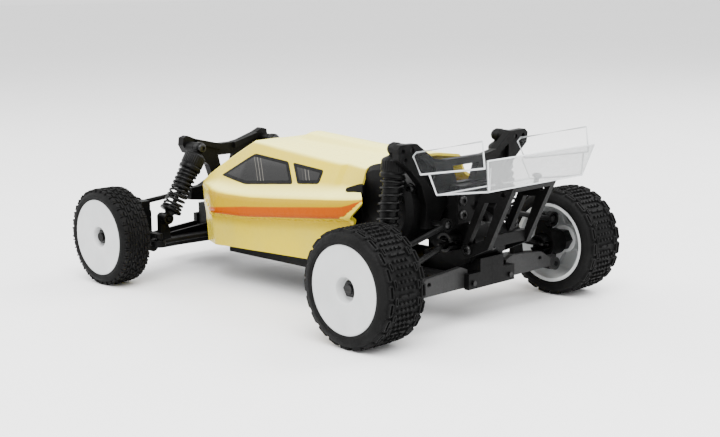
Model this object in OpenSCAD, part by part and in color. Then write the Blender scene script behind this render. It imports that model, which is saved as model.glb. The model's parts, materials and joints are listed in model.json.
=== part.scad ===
// Electric off-road buggy, about 1/24 scale: rear drive, front steering, sprung arms.
// +X is forward, +Y is left, +Z is up. Z = 0 is the ground under the tyres.

/* [Vehicle] */
// Distance between the front and rear axles
wheelbase = 122; // [121:0.5:123]
// Width over the tyres
overall_w = 110; // [110:0.5:111]
// Height of the chassis floor above the ground
ride_h = 11; // [10.8:0.1:11.2]

/* [Wheels] */
// Diameter of the rear tyres
rear_tyre_d = 35; // [34.6:0.1:35]
// Width of the rear tyres
rear_tyre_w = 17; // [16.6:0.2:17]
// Diameter of the front tyres
front_tyre_d = 33.5; // [33:0.1:33.6]
// Width of the front tyres
front_tyre_w = 11.5; // [11.2:0.1:11.5]
// Diameter of all four rims at the tyre bead
rim_d = 26.2; // [26:0.1:26.4]

/* [Body] */
// Thickness of the moulded body shell
shell_t = 0.8; // [0.7:0.1:1]
// Thickness of the clear rear wing
wing_t = 0.7; // [0.6:0.1:0.8]

/* [Drive] */
// Teeth on the motor pinion
pinion_teeth = 12; // [12:1:13]
// Teeth on the spur gear
spur_teeth = 52; // [51:1:52]
// Gear module
gear_m = 0.4; // [0.39:0.01:0.4]

/* [Springs] */
// Turns of each front spring
front_turns = 10; // [8:1:11]
// Turns of each rear spring
rear_turns = 11; // [9:1:12]

/* [Hidden] */

$fn = 48;
eps = 0.01;
run = 0.05;                    // radial clearance of a pin that turns in its bore
pin_r = 0.8;                   // hinge pins and kingpins
ball_r = 1.3;                  // ball studs of the links
open_r = 1.9;                  // link eye bored out where its linkage is left open

plastic = "#1c1c1f";
dark = "#2b2b2e";
steel = "#a9acb0";
white = "#f2f2ef";
rubber = "#18181a";
cream = "#efe2a4";
clear = [0.85, 0.9, 0.92, 0.35];

// Axles
front_x = 66;
rear_x = front_x - wheelbase;
front_z = front_tyre_d / 2;
rear_z = rear_tyre_d / 2;
front_wheel_y = overall_w / 2 - front_tyre_w / 2;
rear_wheel_y = overall_w / 2 - rear_tyre_w / 2;
axle_r = 1.5;

// Hard points of the suspension, as [y, z] on the left side
arm_in_f = [8.5, ride_h + 1];
arm_out_f = [36, ride_h + 1];
arm_in_r = [8.5, ride_h + 2];
arm_out_r = [36, ride_h + 0.5];
link_in_f = [14.5, 27.6];
link_out_f = [36.4, 25.8];
link_in_r = [15, 31];
link_out_r = [36, 26];
link_x_f = front_x + 3;        // plane of the front camber links
link_x_r = rear_x - 3;         // plane of the rear camber links

// Shocks: plane, top eye and bottom eye as [y, z]
shock_x_f = front_x - 9.8;
shock_top_f = [17.3, 44.9];
shock_low_f = [32.4, 21.6];
shock_x_r = rear_x + 9.1;
shock_top_r = [23.8, 53.5];
shock_low_r = [29.5, 18.5];
eye_w = 2.6;                   // width of a shock eye along X
eye_r = 2.1;

// Steering
king_x = front_x - 1;
king_y = 39.5;
steer_arm = 13.5;              // kingpin to tie rod ball
tie_z = ride_h + 3.5;
rack_x = king_x - steer_arm + 0.5;
rack_ball_y = 12;
horn_z = ride_h + 5.5;
horn_len = 7.5;

// Gear train: differential, idler and top shaft lie on one slanted line
diff_teeth = 32;
idler_teeth = 26;
top_teeth = 19;
diff_z = 25;
train_tilt = 29.7;             // slope of that line above the horizontal
motor_tilt = -20;              // slope of the line from spur to pinion
function pitch_r(teeth) = gear_m * teeth / 2;
idler_d = pitch_r(diff_teeth) + pitch_r(idler_teeth);
top_d = idler_d + pitch_r(idler_teeth) + pitch_r(top_teeth);
motor_d = pitch_r(spur_teeth) + pitch_r(pinion_teeth);
idler_c = [rear_x, diff_z] + idler_d * [cos(train_tilt), sin(train_tilt)];
top_c = [rear_x, diff_z] + top_d * [cos(train_tilt), sin(train_tilt)];
motor_c = top_c + motor_d * [cos(motor_tilt), sin(motor_tilt)];
gear_half_w = 2.6;             // half width of the gears inside the case
case_half_w = 7.5;
plate_y = 10;                  // inner face of the motor plate
spur_y = 15;                   // inner face of the spur gear
cover_r = pitch_r(spur_teeth) + 2.4;
motor_r = 7.6;

// Drive shafts: joint centres as [y, z]
joint_in = [10, diff_z];
joint_out = [34.5, rear_z];

// Tower planes
tower_x_f = [front_x - 3.7, front_x - 0.7];
tower_x_r = [rear_x + 2.3, rear_x + 4.9];

// ---------------------------------------------------------------- helpers

// Puts a left-hand piece on the left (1) or, mirrored, on the right (-1)
module on_side(s) { if (s > 0) children(); else mirror([0, 1, 0]) children(); }

// Round bar along X between two stations
module bar_x(x0, x1, c, r) {
    translate([x0, c[0], c[1]]) rotate([0, 90, 0]) cylinder(h = x1 - x0, r = r);
}

// Round bar along Y at [x, z]
module bar_y(y0, y1, c, r) {
    translate([c[0], y1, c[1]]) rotate([90, 0, 0]) cylinder(h = y1 - y0, r = r);
}

// Round bar between two points
module rod(a, b, r) {
    d = b - a;
    translate(a) rotate([0, acos(d[2] / norm(d)), atan2(d[1], d[0])]) cylinder(h = norm(d), r = r);
}

// Plate with an outline in (y, z), from x0 to x1
module plate_x(x0, x1) {
    translate([x0, 0, 0]) rotate([90, 0, 90]) linear_extrude(x1 - x0) children();
}

// Plate with an outline in (x, z), from y0 to y1
module plate_y(y0, y1) {
    translate([0, y1, 0]) rotate([90, 0, 0]) linear_extrude(y1 - y0) children();
}

// Box from its low corner to its high corner
module box(a, b) { translate(a) cube(b - a); }

// Flat bar in a plane with round ends
module link_2d(a, b, w) {
    d = b - a;
    flat = w - 0.1;
    translate(a) rotate(atan2(d[1], d[0])) translate([0, -flat / 2]) square([norm(d), flat]);
    for (p = [a, b]) translate(p) circle(w / 2);
}

// Both halves of an outline given for y > 0
function mirrored(half) = concat(half, [for (i = [len(half) - 1:-1:0]) [-half[i][0], half[i][1]]]);

// Places a shock's own frame: Z runs from the top eye towards the bottom eye
module shock_frame(s, x, top, low) {
    d = low - top;
    translate([x, s * top[0], top[1]]) rotate([s * atan2(-d[0], d[1]), 0, 0]) children();
}
shock_len_f = norm(shock_low_f - shock_top_f);
shock_len_r = norm(shock_low_r - shock_top_r);

// ---------------------------------------------------------------- gears

function inv(a) = tan(a) * 180 / PI - a;
// Half the angle that a tooth fills at radius r, thinned for backlash
function tooth_half(n, r, base) = 90 / n - 0.05 / pitch_r(n) * 180 / PI
    + inv(20) - inv(acos(min(1, base / r)));
function tooth_flank(n, root, tip, base) = [for (i = [0:4])
    let (r = root + (tip - root) * i / 4) [r, tooth_half(n, max(r, base), base)]];
function gear_points(n) =
    let (base = pitch_r(n) * cos(20), flank = tooth_flank(n, pitch_r(n) - 1.2 * gear_m,
        pitch_r(n) + 0.9 * gear_m, base))
    [for (t = [0:n - 1], side = [-1, 1], i = [0:4])
        let (p = flank[side < 0 ? i : 4 - i], a = 360 * t / n + side * p[1])
        p[0] * [cos(a), sin(a)]];

// Gear across Y at [x, z], with one tooth centre at angle turn
module gear(n, c, turn, y0, y1) {
    plate_y(y0, y1) translate(c) rotate(turn) polygon(gear_points(n));
}

// ---------------------------------------------------------------- chassis and covers

tub_half = 21;
module chassis_tub() {
    floor_z = ride_h;
    top_z = ride_h + 1.6;
    outline = [[front_x - 10.2, 7.5], [44, 10], [36, tub_half], [-26, tub_half], [-36, 12],
        [rear_x + 16.42, 8]];
    color(plastic) difference() {
        union() {
            translate([0, 0, floor_z]) linear_extrude(1.6)
                polygon(concat(outline, [for (i = [len(outline) - 1:-1:0]) [outline[i][0], -outline[i][1]]]));
            for (s = [-1, 1]) {
                box([-26, s > 0 ? tub_half - 1.4 : -tub_half, floor_z],
                    [36, s > 0 ? tub_half : 1.4 - tub_half, floor_z + 8]);
                // lugs that hold the front hinge pins
                for (x = [front_x - 11.6, front_x + 6])
                    box([x, s > 0 ? 5 : -10.7, floor_z - 1.2], [x + 1.6, s > 0 ? 10.7 : -5, floor_z + 3.2]);
                // guides of the steering rack
                box([rack_x - 1.5, s > 0 ? 2.8 : -5, floor_z], [rack_x + 1.6, s > 0 ? 5 : -2.8, floor_z + 8.2]);
            }
            // battery stops
            box([28.2, -14, floor_z], [29.4, 14, floor_z + 6]);
            box([-16.6, -14, floor_z], [-15.4, 14, floor_z + 6]);
            // front bulkhead, behind and ahead of the shock tower
            box([front_x - 9.2, -5.2, floor_z], [tower_x_f[0] - 0.02, 5.2, 34]);
            box([front_x - 9.2, -5.2, floor_z], [front_x + 7.6, 5.2, floor_z + 7]);
            box([tower_x_f[1] + 0.02, -5.2, floor_z], [front_x + 7.6, 5.2, floor_z + 11]);
            box([front_x - 14, -6, floor_z], [front_x - 9, 6, top_z]);
        }
        for (s = [-1, 1]) {
            bar_x(front_x - 13, front_x + 9, [s * arm_in_f[0], arm_in_f[1]], pin_r);
            // side windows that lighten the rails
            for (x = [-20:14:22]) box([x, s > 0 ? tub_half - 2 : -tub_half - 1, floor_z + 3],
                [x + 9, s > 0 ? tub_half + 1 : 2 - tub_half, floor_z + 6]);
        }
        // channel of the steering rack
        box([rack_x - 0.9, -7, floor_z + 6.1], [rack_x + 0.9, 7, floor_z + 9]);
        // seat of the front tower
        box([tower_x_f[0] - 0.02, -6, floor_z + 5], [tower_x_f[1] + 0.02, 6, 40]);
        // countersunk mounting holes through the floor
        for (x = mount_hole_x, y = mount_hole_y) {
            translate([x, y, floor_z - 1]) cylinder(h = 4, r = mount_hole_r);
        }
    }
}
mount_hole_x = [-22, 32.5];
mount_hole_y = [-16, 16];
mount_hole_r = 1.1;

module front_bumper() {
    z = ride_h - 4;
    color(plastic) difference() {
        union() {
            translate([0, 0, z]) linear_extrude(2) polygon([[front_x + 7.8, 8], [front_x + 11, 15],
                [front_x + 15.5, 15.5], [front_x + 17.2, 12], [front_x + 17.5, 0], [front_x + 17.2, -12],
                [front_x + 15.5, -15.5], [front_x + 11, -15], [front_x + 7.8, -8]]);
            box([front_x + 7.8, -6, z], [front_x + 9.8, 6, ride_h + 7]);
            plate_y(-1, 1) polygon([[front_x + 9.7, z + 1.9], [front_x + 16, z + 1.9],
                [front_x + 9.7, ride_h + 6]]);
        }
        for (s = [-1, 1]) translate([0, 0, z - 1]) linear_extrude(4)
            polygon([[front_x + 11.5, s * 5], [front_x + 14.6, s * 5], [front_x + 14.4, s * 12],
                [front_x + 12.5, s * 12]]);
        for (s = [-1, 1]) bar_x(front_x + 7, front_x + 11, [s * 3.5, ride_h + 4.5], 0.8);
    }
}

// Steel screw with a button head and a hexagon socket; the shank points along -Z
module screw(head_r, shank) {
    difference() {
        union() {
            rotate_extrude() polygon([[0, 0], [head_r, 0], [head_r, 0.45], [head_r * 0.8, 0.85],
                [head_r * 0.5, 1], [0, 1]]);
            translate([0, 0, -shank]) cylinder(h = shank + eps, r = pin_r);
        }
        translate([0, 0, 0.35]) cylinder(h = 1, r = head_r * 0.5, $fn = 6);
    }
}
module screw_at(p, turn, head_r = 1.5, shank = 2) {
    translate(p) rotate(turn) screw(head_r, shank);
}
to_rear = [0, -90, 0];
to_front = [0, 90, 0];

module pins_and_screws() {
    color(steel) for (s = [-1, 1]) {
        // inner hinge pins
        bar_x(front_x - 12, front_x + 8, [s * arm_in_f[0], arm_in_f[1]], pin_r);
        bar_x(rear_x - 8.8, rear_x + 17, [s * arm_in_r[0], arm_in_r[1]], pin_r);
        // shock screws on the towers
        screw_at([shock_x_f - eye_w / 2 - 0.1, s * shock_top_f[0], shock_top_f[1]], to_rear, 1.7,
            tower_x_f[1] - shock_x_f + 1);
        screw_at([shock_x_r + eye_w / 2 + 0.1, s * shock_top_r[0], shock_top_r[1]], to_front, 1.7,
            shock_x_r - tower_x_r[0] + 1);
        // inner ball studs of the camber links
        rod([tower_x_f[1] - 1, s * link_in_f[0], link_in_f[1]], [link_x_f, s * link_in_f[0], link_in_f[1]], pin_r);
        translate([link_x_f, s * link_in_f[0], link_in_f[1]]) sphere(ball_r);
        rod([tower_x_r[0] + 1, s * link_in_r[0], link_in_r[1]], [link_x_r, s * link_in_r[0], link_in_r[1]], pin_r);
        translate([link_x_r, s * link_in_r[0], link_in_r[1]]) sphere(ball_r);
        // screws of the case flanges, the towers and the bumper
        for (z = [33.6, 37.9]) screw_at([rear_x - 5, s * 10, z], to_rear, 1.5, 2);
        screw_at([front_x + 9.8, s * 3.5, ride_h + 4.5], to_front, 1.5, 3);
        screw_at([tower_x_r[1], s * 5, 38], to_front, 1.5, 4);
        screw_at([tower_x_f[1], s * 3, 30], to_front, 1.4, 4);
        // wing screws and wing mount screws
        screw_at(wing_point(-74, 0.7) + [0, s * wing_mount_y, 0], [0, -wing_slope, 0], 1.5, 4);
        screw_at([rear_x - 7, s * (wing_mount_y + 1), 23.2], [s > 0 ? -90 : 90, 0, 0], 1.5, 3);
    }
    color(steel) {
        screw_at([rear_x - 8, 0, 23.2], to_rear, 1.4, 0.7);
        for (a = [25, 150, 265]) screw_at([top_c[0] + (cover_r - 0.2) * cos(a), cover_y1 - 2.5,
            top_c[1] + (cover_r - 0.2) * sin(a)], [-90, 0, 0], 1.2, 2);
    }
}

module front_shock_tower() {
    half = [[3, 44.7], [6.5, 45.2], [14, 47.4], [17.4, 48.8], [19.4, 48.2], [19.8, 45.6],
        [18.2, 42.8], [13, 40.6], [8.4, 37.4], [6.6, 32.5], [12, 30.2], [16.6, 29.8], [17, 25.6],
        [11, 24.8], [5.2, 23.5], [5.2, ride_h + 5.1]];
    color(dark) difference() {
        union() {
            plate_x(tower_x_f[0], tower_x_f[1]) polygon(mirrored(half));
            for (s = [-1, 1]) bar_x(shock_x_f + eye_w / 2 + 0.1, tower_x_f[0] + 0.1,
                [s * shock_top_f[0], shock_top_f[1]], 1.9);
            // stiffening rib along the upper edge
            for (s = [-1, 1]) plate_x(tower_x_f[0] - 1.2, tower_x_f[0] + 0.1)
                polygon([[s * 3, 44.7], [s * 14, 47.4], [s * 14, 45.6], [s * 3, 42.6]]);
        }
        for (s = [-1, 1]) {
            bar_x(shock_x_f, tower_x_f[1] + 1, [s * shock_top_f[0], shock_top_f[1]], pin_r);
            bar_x(tower_x_f[1] - 1, tower_x_f[1] + 1, [s * link_in_f[0], link_in_f[1]], pin_r);
            bar_x(tower_x_f[0] - 1, tower_x_f[1] + 1, [s * 10.6, 27.4], 0.7);
            bar_x(tower_x_f[0] - 1, tower_x_f[1] + 1, [s * 3, 30], pin_r);
        }
        plate_x(tower_x_f[0] - 1, tower_x_f[1] + 1) polygon([[-4, 40.5], [4, 40.5], [2.4, 34.5], [-2.4, 34.5]]);
    }
}

module rear_shock_tower() {
    half = [[9, 49.4], [14.5, 50.4], [21.6, 55.4], [28.6, 55.6], [30, 54.4], [29.4, 51.2], [24.5, 47.6],
        [20, 42.8], [17.8, 36.5], [17.8, 29.4], [13, 29.4], [10.6, 33.5], [8.2, 35.8]];
    color(dark) difference() {
        union() {
            plate_x(tower_x_r[0], tower_x_r[1]) polygon(mirrored(half));
            for (s = [-1, 1]) bar_x(tower_x_r[1] - 0.1, shock_x_r - eye_w / 2 - 0.1,
                [s * shock_top_r[0], shock_top_r[1]], 1.9);
        }
        for (s = [-1, 1]) {
            bar_x(tower_x_r[0] - 1, shock_x_r, [s * shock_top_r[0], shock_top_r[1]], pin_r);
            bar_x(tower_x_r[0] - 1, tower_x_r[0] + 1, [s * link_in_r[0], link_in_r[1]], pin_r);
            // pocket in the rear face and two spare shock holes near the tip
            plate_x(tower_x_r[0] - 1, tower_x_r[0] + 1.4)
                polygon([[s * 13.4, 47.2], [s * 20.4, 51.6], [s * 20.4, 46.6], [s * 15.5, 41.5]]);
            for (p = [[27.6, 53.6], [26.6, 51]])
                bar_x(tower_x_r[0] - 1, tower_x_r[1] + 1, [s * p[0], p[1]], 0.7);
            bar_x(tower_x_r[0] - 1, tower_x_r[1] + 1, [s * 5, 38], pin_r);
        }
        plate_x(tower_x_r[0] - 1, tower_x_r[1] + 1) polygon([[-6, 47.2], [6, 47.2], [4, 42], [-4, 42]]);
    }
}

// Outline of the gear case in (x, z), grown by t
module case_2d(t) {
    translate([rear_x, diff_z]) circle(pitch_r(diff_teeth) + 0.8 + t);
    translate(idler_c) circle(pitch_r(idler_teeth) + 0.6 + t);
    translate(top_c) circle(pitch_r(top_teeth) + 0.5 + t);
    d = [cos(train_tilt), sin(train_tilt)];
    n = [-d[1], d[0]];
    a = [rear_x, diff_z];
    polygon([a + n * (6.6 + t), idler_c + n * (5.6 + t), idler_c - n * (5.6 + t), a - n * (6.6 + t)]);
    polygon([idler_c + n * (5 + t), top_c + n * (3.6 + t), top_c - n * (3.6 + t), idler_c - n * (5 + t)]);
}

module gearbox_half() {
    difference() {
        union() {
            plate_y(eps, case_half_w) case_2d(0.8);
            // foot with the lugs that hold the rear hinge pins
            box([rear_x - 6.6, eps, ride_h + 0.2], [rear_x + 14.7, 5.4, diff_z - 5]);
            for (x = [rear_x - 8.2, rear_x + 14.6])
                box([x, eps, ride_h + 0.2], [x + 1.8, 10.7, ride_h + 5]);
            box([rear_x - 8.2, eps, ride_h + 0.2], [rear_x - 5, 5.4, diff_z - 5]);
            // upper block behind the rear tower, with a screw flange
            box([rear_x - 1.5, eps, diff_z + 4], [tower_x_r[0] - 0.02, 7.2, 41.5]);
            box([rear_x - 5, 4.5, diff_z + 6], [rear_x - 1, 12, 40.2]);
            // boss around the top shaft, out to the motor plate
            bar_y(case_half_w - 0.1, plate_y + 1.5, top_c, 3.8);
            plate_y(plate_y, plate_y + 1.5) {
                link_2d(top_c, motor_c, 15.6);
                polygon([top_c + [-9, 2], top_c + [0, 7.6], top_c + [2, -7.8], top_c + [-9, -6]]);
            }
        }
        plate_y(-1, gear_half_w + 0.4) case_2d(0);
        bar_y(-1, case_half_w + 1, [rear_x, diff_z], 3.0 + run);
        bar_y(-1, case_half_w - 1.5, idler_c, 1.2 + run);
        bar_y(-1, plate_y + 3, top_c, 1.5 + run);
        bar_y(plate_y - 1, plate_y + 3, motor_c, 3.4);
        bar_x(rear_x - 9, rear_x + 18, arm_in_r, pin_r);
        for (z = [33.6, 37.9]) bar_x(rear_x - 6, rear_x - 2, [10, z], pin_r);
        bar_x(rear_x - 1.6, tower_x_r[0] + 1, [5, 38], pin_r);
        // V-shaped recess in the rear of the upper block
        plate_x(rear_x - 6, rear_x - 0.4) polygon([[-1, 36], [6.4, 36], [-1, 28]]);
        bar_y(4, case_half_w + 1, [rear_x - 7, 23.2], pin_r);
    }
}

module gearbox_case() {
    color(plastic) {
        gearbox_half();
        mirror([0, 1, 0]) difference() {
            gearbox_half();
            // the motor plate is on the left only
            box([rear_x + 8, case_half_w + 0.2, 18], [10, 14, 50]);
        }
    }
}

cover_y0 = plate_y + 1.7;
cover_y1 = 22;
lobe_y1 = 22.5;
module gear_cover() {
    wall = 0.9;
    module outer(y1, t) {
        bar_y(cover_y0, y1, top_c, cover_r - t);
        translate([top_c[0], y1, top_c[1]]) rotate([-90, 0, 0]) cylinder(h = 1.6, r1 = cover_r - t, r2 = cover_r - t - 1.8);
    }
    module lobe(y1, t) {
        bar_y(cover_y0, y1, motor_c, 5.4 - t);
    }
    color(plastic) difference() {
        union() {
            outer(cover_y1 - 1.6, 0);
            lobe(lobe_y1, 0);
            bar_y(cover_y1 - 0.1, lobe_y1, top_c, 5);
            for (a = [25, 150, 265]) bar_y(cover_y0, cover_y1 - 2.5,
                top_c + (cover_r - 0.2) * [cos(a), sin(a)], 1.6);
            // stiffening lip towards the cabin
            plate_y(cover_y1 - 2, cover_y1 - 0.6) polygon([top_c + [9.6, 7.5], top_c + [16, 4.2],
                top_c + [15.6, 3.2], top_c + [10.5, 4]]);
        }
        translate([0, -wall, 0]) outer(cover_y1 - 1.6, wall);
        bar_y(cover_y0 - 1, cover_y0 + 1, top_c, cover_r - wall);
        translate([0, -wall, 0]) bar_y(cover_y0, lobe_y1, motor_c, 5.4 - wall);
        bar_y(cover_y0 - 1, cover_y0 + 1, motor_c, 5.4 - wall);
        for (a = [25, 150, 265]) bar_y(cover_y0 - 1, cover_y1, top_c + (cover_r - 0.2) * [cos(a), sin(a)], pin_r);
    }
}

module motor() {
    y0 = -14;
    color(steel) {
        difference() {
            union() {
                bar_y(y0, plate_y - 0.02, motor_c, motor_r);
                bar_y(y0 - 1.2, y0 + 0.1, motor_c, 3);
            }
            // flats ground on the can and cooling slots
            for (s = [-1, 1]) translate([motor_c[0] - 10, y0 + 2, motor_c[1] + (s > 0 ? 7.2 : -9.2)]) cube([20, 20, 2]);
            bar_y(y0 - 2, plate_y + 1, motor_c, 1 + run);
        }
        // terminals
        for (s = [-1, 1]) box([motor_c[0] + s * 5 - 0.4, y0 - 2.4, motor_c[1] - 1],
            [motor_c[0] + s * 5 + 0.4, y0 + 0.1, motor_c[1] + 1]);
    }
}

wing_mount_y = 9;
module wing_mount() {
    t = 1;
    frame = [[-80.6, 44.1], [-68.2, 40.8], [-59.3, 21], [-61, 19.8], [-70.8, 24.3], [-71.6, 26]];
    color(dark) difference() {
        union() {
            for (s = [-1, 1]) plate_y(s * wing_mount_y - t, s * wing_mount_y + t) difference() {
                polygon(frame);
                polygon([[-74.2, 38.6], [-69.6, 38.2], [-63, 24.4], [-69.8, 27.2]]);
            }
            // crossbars low down and under the wing
            box([-70.6, -wing_mount_y, 24.6], [-68.6, wing_mount_y, 28]);
            plate_y(-wing_mount_y, wing_mount_y) polygon([[-80.6, 44.1], [-68.2, 40.8], [-68.6, 39.2], [-79.8, 42.2]]);
        }
        for (s = [-1, 1]) {
            translate(wing_point(-74, -5) + [0, s * wing_mount_y, 0]) rotate([0, -wing_slope, 0])
                cylinder(h = 6, r = pin_r);
            bar_y(s * wing_mount_y - 2, s * wing_mount_y + 2, [rear_x - 7, 23.2], pin_r);
            bar_y(s * wing_mount_y - 2, s * wing_mount_y + 2, [-76.4, 41.2], 0.9);
        }
    }
}

// Wing floor line: from its front edge up to the foot of the rear blade
wing_front = [-61.3, 41.3];
wing_rear = [-81, 44.7];
wing_slope = atan2(wing_rear[1] - wing_front[1], wing_front[0] - wing_rear[0]);
function wing_floor_z(x) = wing_front[1] + (wing_front[0] - x) * tan(wing_slope);
// Point above the wing floor, measured at a right angle to it
function wing_point(x, up) = [x + up * sin(wing_slope), 0, wing_floor_z(x) + wing_t + up * cos(wing_slope) - 0.6];

module rear_wing() {
    low_y = 21.8;
    top_y = 24.4;
    color(clear) {
        difference() {
            union() {
                // floor
                plate_y(-low_y, low_y) polygon([wing_front, wing_rear, wing_rear + [0, wing_t], wing_front + [0, wing_t]]);
                for (s = [-1, 1]) {
                    // lower side wall, step and upper side plate
                    plate_y(s > 0 ? low_y - wing_t : -low_y, s > 0 ? low_y : wing_t - low_y)
                        polygon([wing_front, wing_rear, [-81.8, 51.6], [-59, 47.6]]);
                    plate_y(s > 0 ? low_y - wing_t : -top_y, s > 0 ? top_y : wing_t - low_y)
                        polygon([[-57.6, 47.2], [-81.6, 51.4], [-81.6, 52.1], [-57.6, 47.9]]);
                    plate_y(s > 0 ? top_y - wing_t : -top_y, s > 0 ? top_y : wing_t - top_y)
                        polygon([[-57.6, 47.2], [-81.6, 51.4], [-80.4, 57.2], [-55.6, 53.2], [-54.4, 52.2]]);
                }
                // rear blade
                plate_y(-top_y, top_y) polygon([[-80.9, 44.8], [-81.6, 44.4], [-83.5, 52.9], [-82.8, 53.1]]);
            }
            for (s = [-1, 1]) translate(wing_point(-74, -3) + [0, s * wing_mount_y, 0])
                rotate([0, -wing_slope, 0]) cylinder(h = 6, r = pin_r);
        }
    }
}

// ---------------------------------------------------------------- electronics

module steering_servo() {
    color(dark) {
        box([31, -5, ride_h + 1.6], [47.2, 14.6, horn_z + 4.3]);
        box([43.4, -7.4, horn_z - 2], [44.8, 17, horn_z + 2]);
        bar_x(47.1, 48.6, [0, horn_z], 3.2);
        bar_x(48.5, 49.1, [0, horn_z], 1.9);
    }
}

module battery() {
    color("#3b4a63") difference() {
        union() {
            box([-15.2, -12, ride_h + 1.6], [28, 12, ride_h + 14]);
            for (s = [-1, 1]) bar_x(-15.2, 28, [s * 9, ride_h + 11.6], 3);
        }
        for (x = [-2, 12]) box([x, -13, ride_h + 13.6], [x + 6, 13, ride_h + 16]);
    }
}

module receiver_unit() {
    color(dark) {
        box([29.8, -19, ride_h + 1.6], [42.4, -8, ride_h + 8]);
        box([30.8, -18, ride_h + 7.9], [41.4, -9, ride_h + 9]);
        for (i = [0:3]) box([31.4 + 2.6 * i, -18, ride_h + 8.9], [32.8 + 2.6 * i, -9, ride_h + 11]);
    }
}

// ---------------------------------------------------------------- body shell

// Cross-section in (y, z), side outline in (x, z) and plan in (x, y), inset by t
function shell_section(t) = mirrored([[24.2 - t, 13.8 - 2 * t], [26 - t, 28], [30.6 - t, 30.6],
    [31.4 - t, 33 ], [31 - t, 36 - t], [25.6 - t, 38.8 - t], [21.4 - t, 46.4 - t], [17.2 - t, 50 - t],
    [8, 52.4 - t]]);
function shell_side(t) = [[44 - t, 13.8 - 2 * t], [47.2 - t, 20], [51.2 - t, 33], [49 - t, 36.6 - t],
    [35 - t, 46 - t], [29 - t, 50 - t], [13, 52.6 - t], [-21, 51.2 - t], [-33 - 4 * t, 49 - t],
    [-36 - 4 * t, 39 - t], [-39.5 - 4 * t, 37.5 - t], [-39.5 - 4 * t, 31], [-30 - 4 * t, 27], [-27 - 4 * t, 13.8 - 2 * t]];
function shell_plan(t) = concat([[-45, 20 - t], [-36, 32 - t], [33, 32 - t], [43, 27.5 - t], [52 - t, 19 - t]],
    [[52 - t, t - 19], [43, t - 27.5], [33, t - 32], [-36, t - 32], [-45, t - 20]]);

module shell_form(t) {
    intersection() {
        plate_x(-60, 60) polygon(shell_section(t));
        plate_y(-40, 40) polygon(shell_side(t));
        translate([0, 0, 5]) linear_extrude(60) polygon(shell_plan(t));
    }
}

module body_shell() {
    color(cream) difference() {
        shell_form(0);
        shell_form(shell_t);
        // arch in the nose for the steering, open back, and room for the gear cover on both sides
        box([40, -17.5, 5], [60, 17.5, 31.5]);
        box([-60, -23.3, 5], [-23.5, 23.3, 41]);
        bar_y(-24.6, 24.6, top_c, cover_r + 1.5);
        bar_y(-24.6, 24.6, motor_c, 8.4);
    }
}

// ---------------------------------------------------------------- gear train and drive

module motor_pinion() {
    color("#c9a55a") {
        gear(pinion_teeth, motor_c, motor_tilt + 180 + 180 / pinion_teeth, spur_y - 0.4, spur_y + 4.4);
    }
    color(steel) bar_y(-10, spur_y + 6, motor_c, 1);
}

module spur_gear() {
    color(white) {
        gear(spur_teeth, top_c, motor_tilt, spur_y, spur_y + 3.6);
        gear(top_teeth, top_c, train_tilt + 180, -gear_half_w, gear_half_w);
        bar_y(-6, spur_y + 5, top_c, 1.5);
        bar_y(spur_y - 1.6, spur_y + 0.1, top_c, 4);
    }
}

module idler_gear() {
    color(white) {
        gear(idler_teeth, idler_c, train_tilt + 180 + 180 / idler_teeth, -gear_half_w, gear_half_w);
        bar_y(-5.6, 5.6, idler_c, 1.2);
    }
}

// Slotted cup from its closed back to its open mouth, with the slot along X at rest
module drive_cup(back, mouth, c, r, bore, slot) {
    dir = sign(mouth - back);
    y0 = min(back + 0.9 * dir, mouth + dir);
    y1 = max(back + 0.9 * dir, mouth + dir);
    difference() {
        bar_y(min(back, mouth), max(back, mouth), c, r);
        bar_y(y0, y1, c, bore);
        box([c[0] - r - 1, y0, c[1] - slot], [c[0] + r + 1, y1, c[1] + slot]);
    }
}

module differential() {
    c = [rear_x, diff_z];
    color(dark) {
        gear(diff_teeth, c, train_tilt, -gear_half_w, gear_half_w);
        bar_y(-5.1, 5.1, c, 3);
        for (s = [-1, 1]) on_side(s) drive_cup(5, 12.6, c, 3, 2.1, 0.8);
    }
}

module drive_shaft(s) {
    a = [rear_x, joint_in[0], joint_in[1]];
    b = [rear_x, joint_out[0], joint_out[1]];
    color(dark) on_side(s) {
        rod(a, b, 0.75);
        rod(a + (b - a) * 0.2, b - (b - a) * 0.2, 1);
        for (p = [a, b]) {
            translate(p) sphere(1.2);
            bar_x(p[0] - 2.9, p[0] + 2.9, [p[1], p[2]], 0.45);
        }
    }
}

// ---------------------------------------------------------------- steering

module servo_horn() {
    color(dark) difference() {
        union() {
            plate_x(49.2, 50.2) {
                link_2d([0, horn_z], [0, horn_z + horn_len], 3);
                translate([0, horn_z]) circle(2.6);
            }
            bar_x(50.1, rack_x + 1.6, [0, horn_z + horn_len], 0.75);
        }
        bar_x(49, 49.9, [0, horn_z], 1);
    }
}

module steering_rack() {
    z0 = ride_h + 6.2;
    color(dark) {
        difference() {
            union() {
                box([rack_x - 0.8, -rack_ball_y - 1.4, z0], [rack_x + 0.8, rack_ball_y + 1.4, z0 + 2]);
                box([rack_x - 0.8, -2.1, z0 + 1.9], [rack_x + 0.8, 2.1, z0 + 9.2]);
            }
            box([rack_x - 1, -0.95, z0 + 4], [rack_x + 1, 0.95, z0 + 8.2]);
        }
    }
    color(steel) for (s = [-1, 1]) {
        rod([rack_x, s * rack_ball_y, tie_z], [rack_x, s * rack_ball_y, z0 + 0.1], 0.7);
        translate([rack_x, s * rack_ball_y, tie_z]) sphere(ball_r);
    }
}

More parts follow.
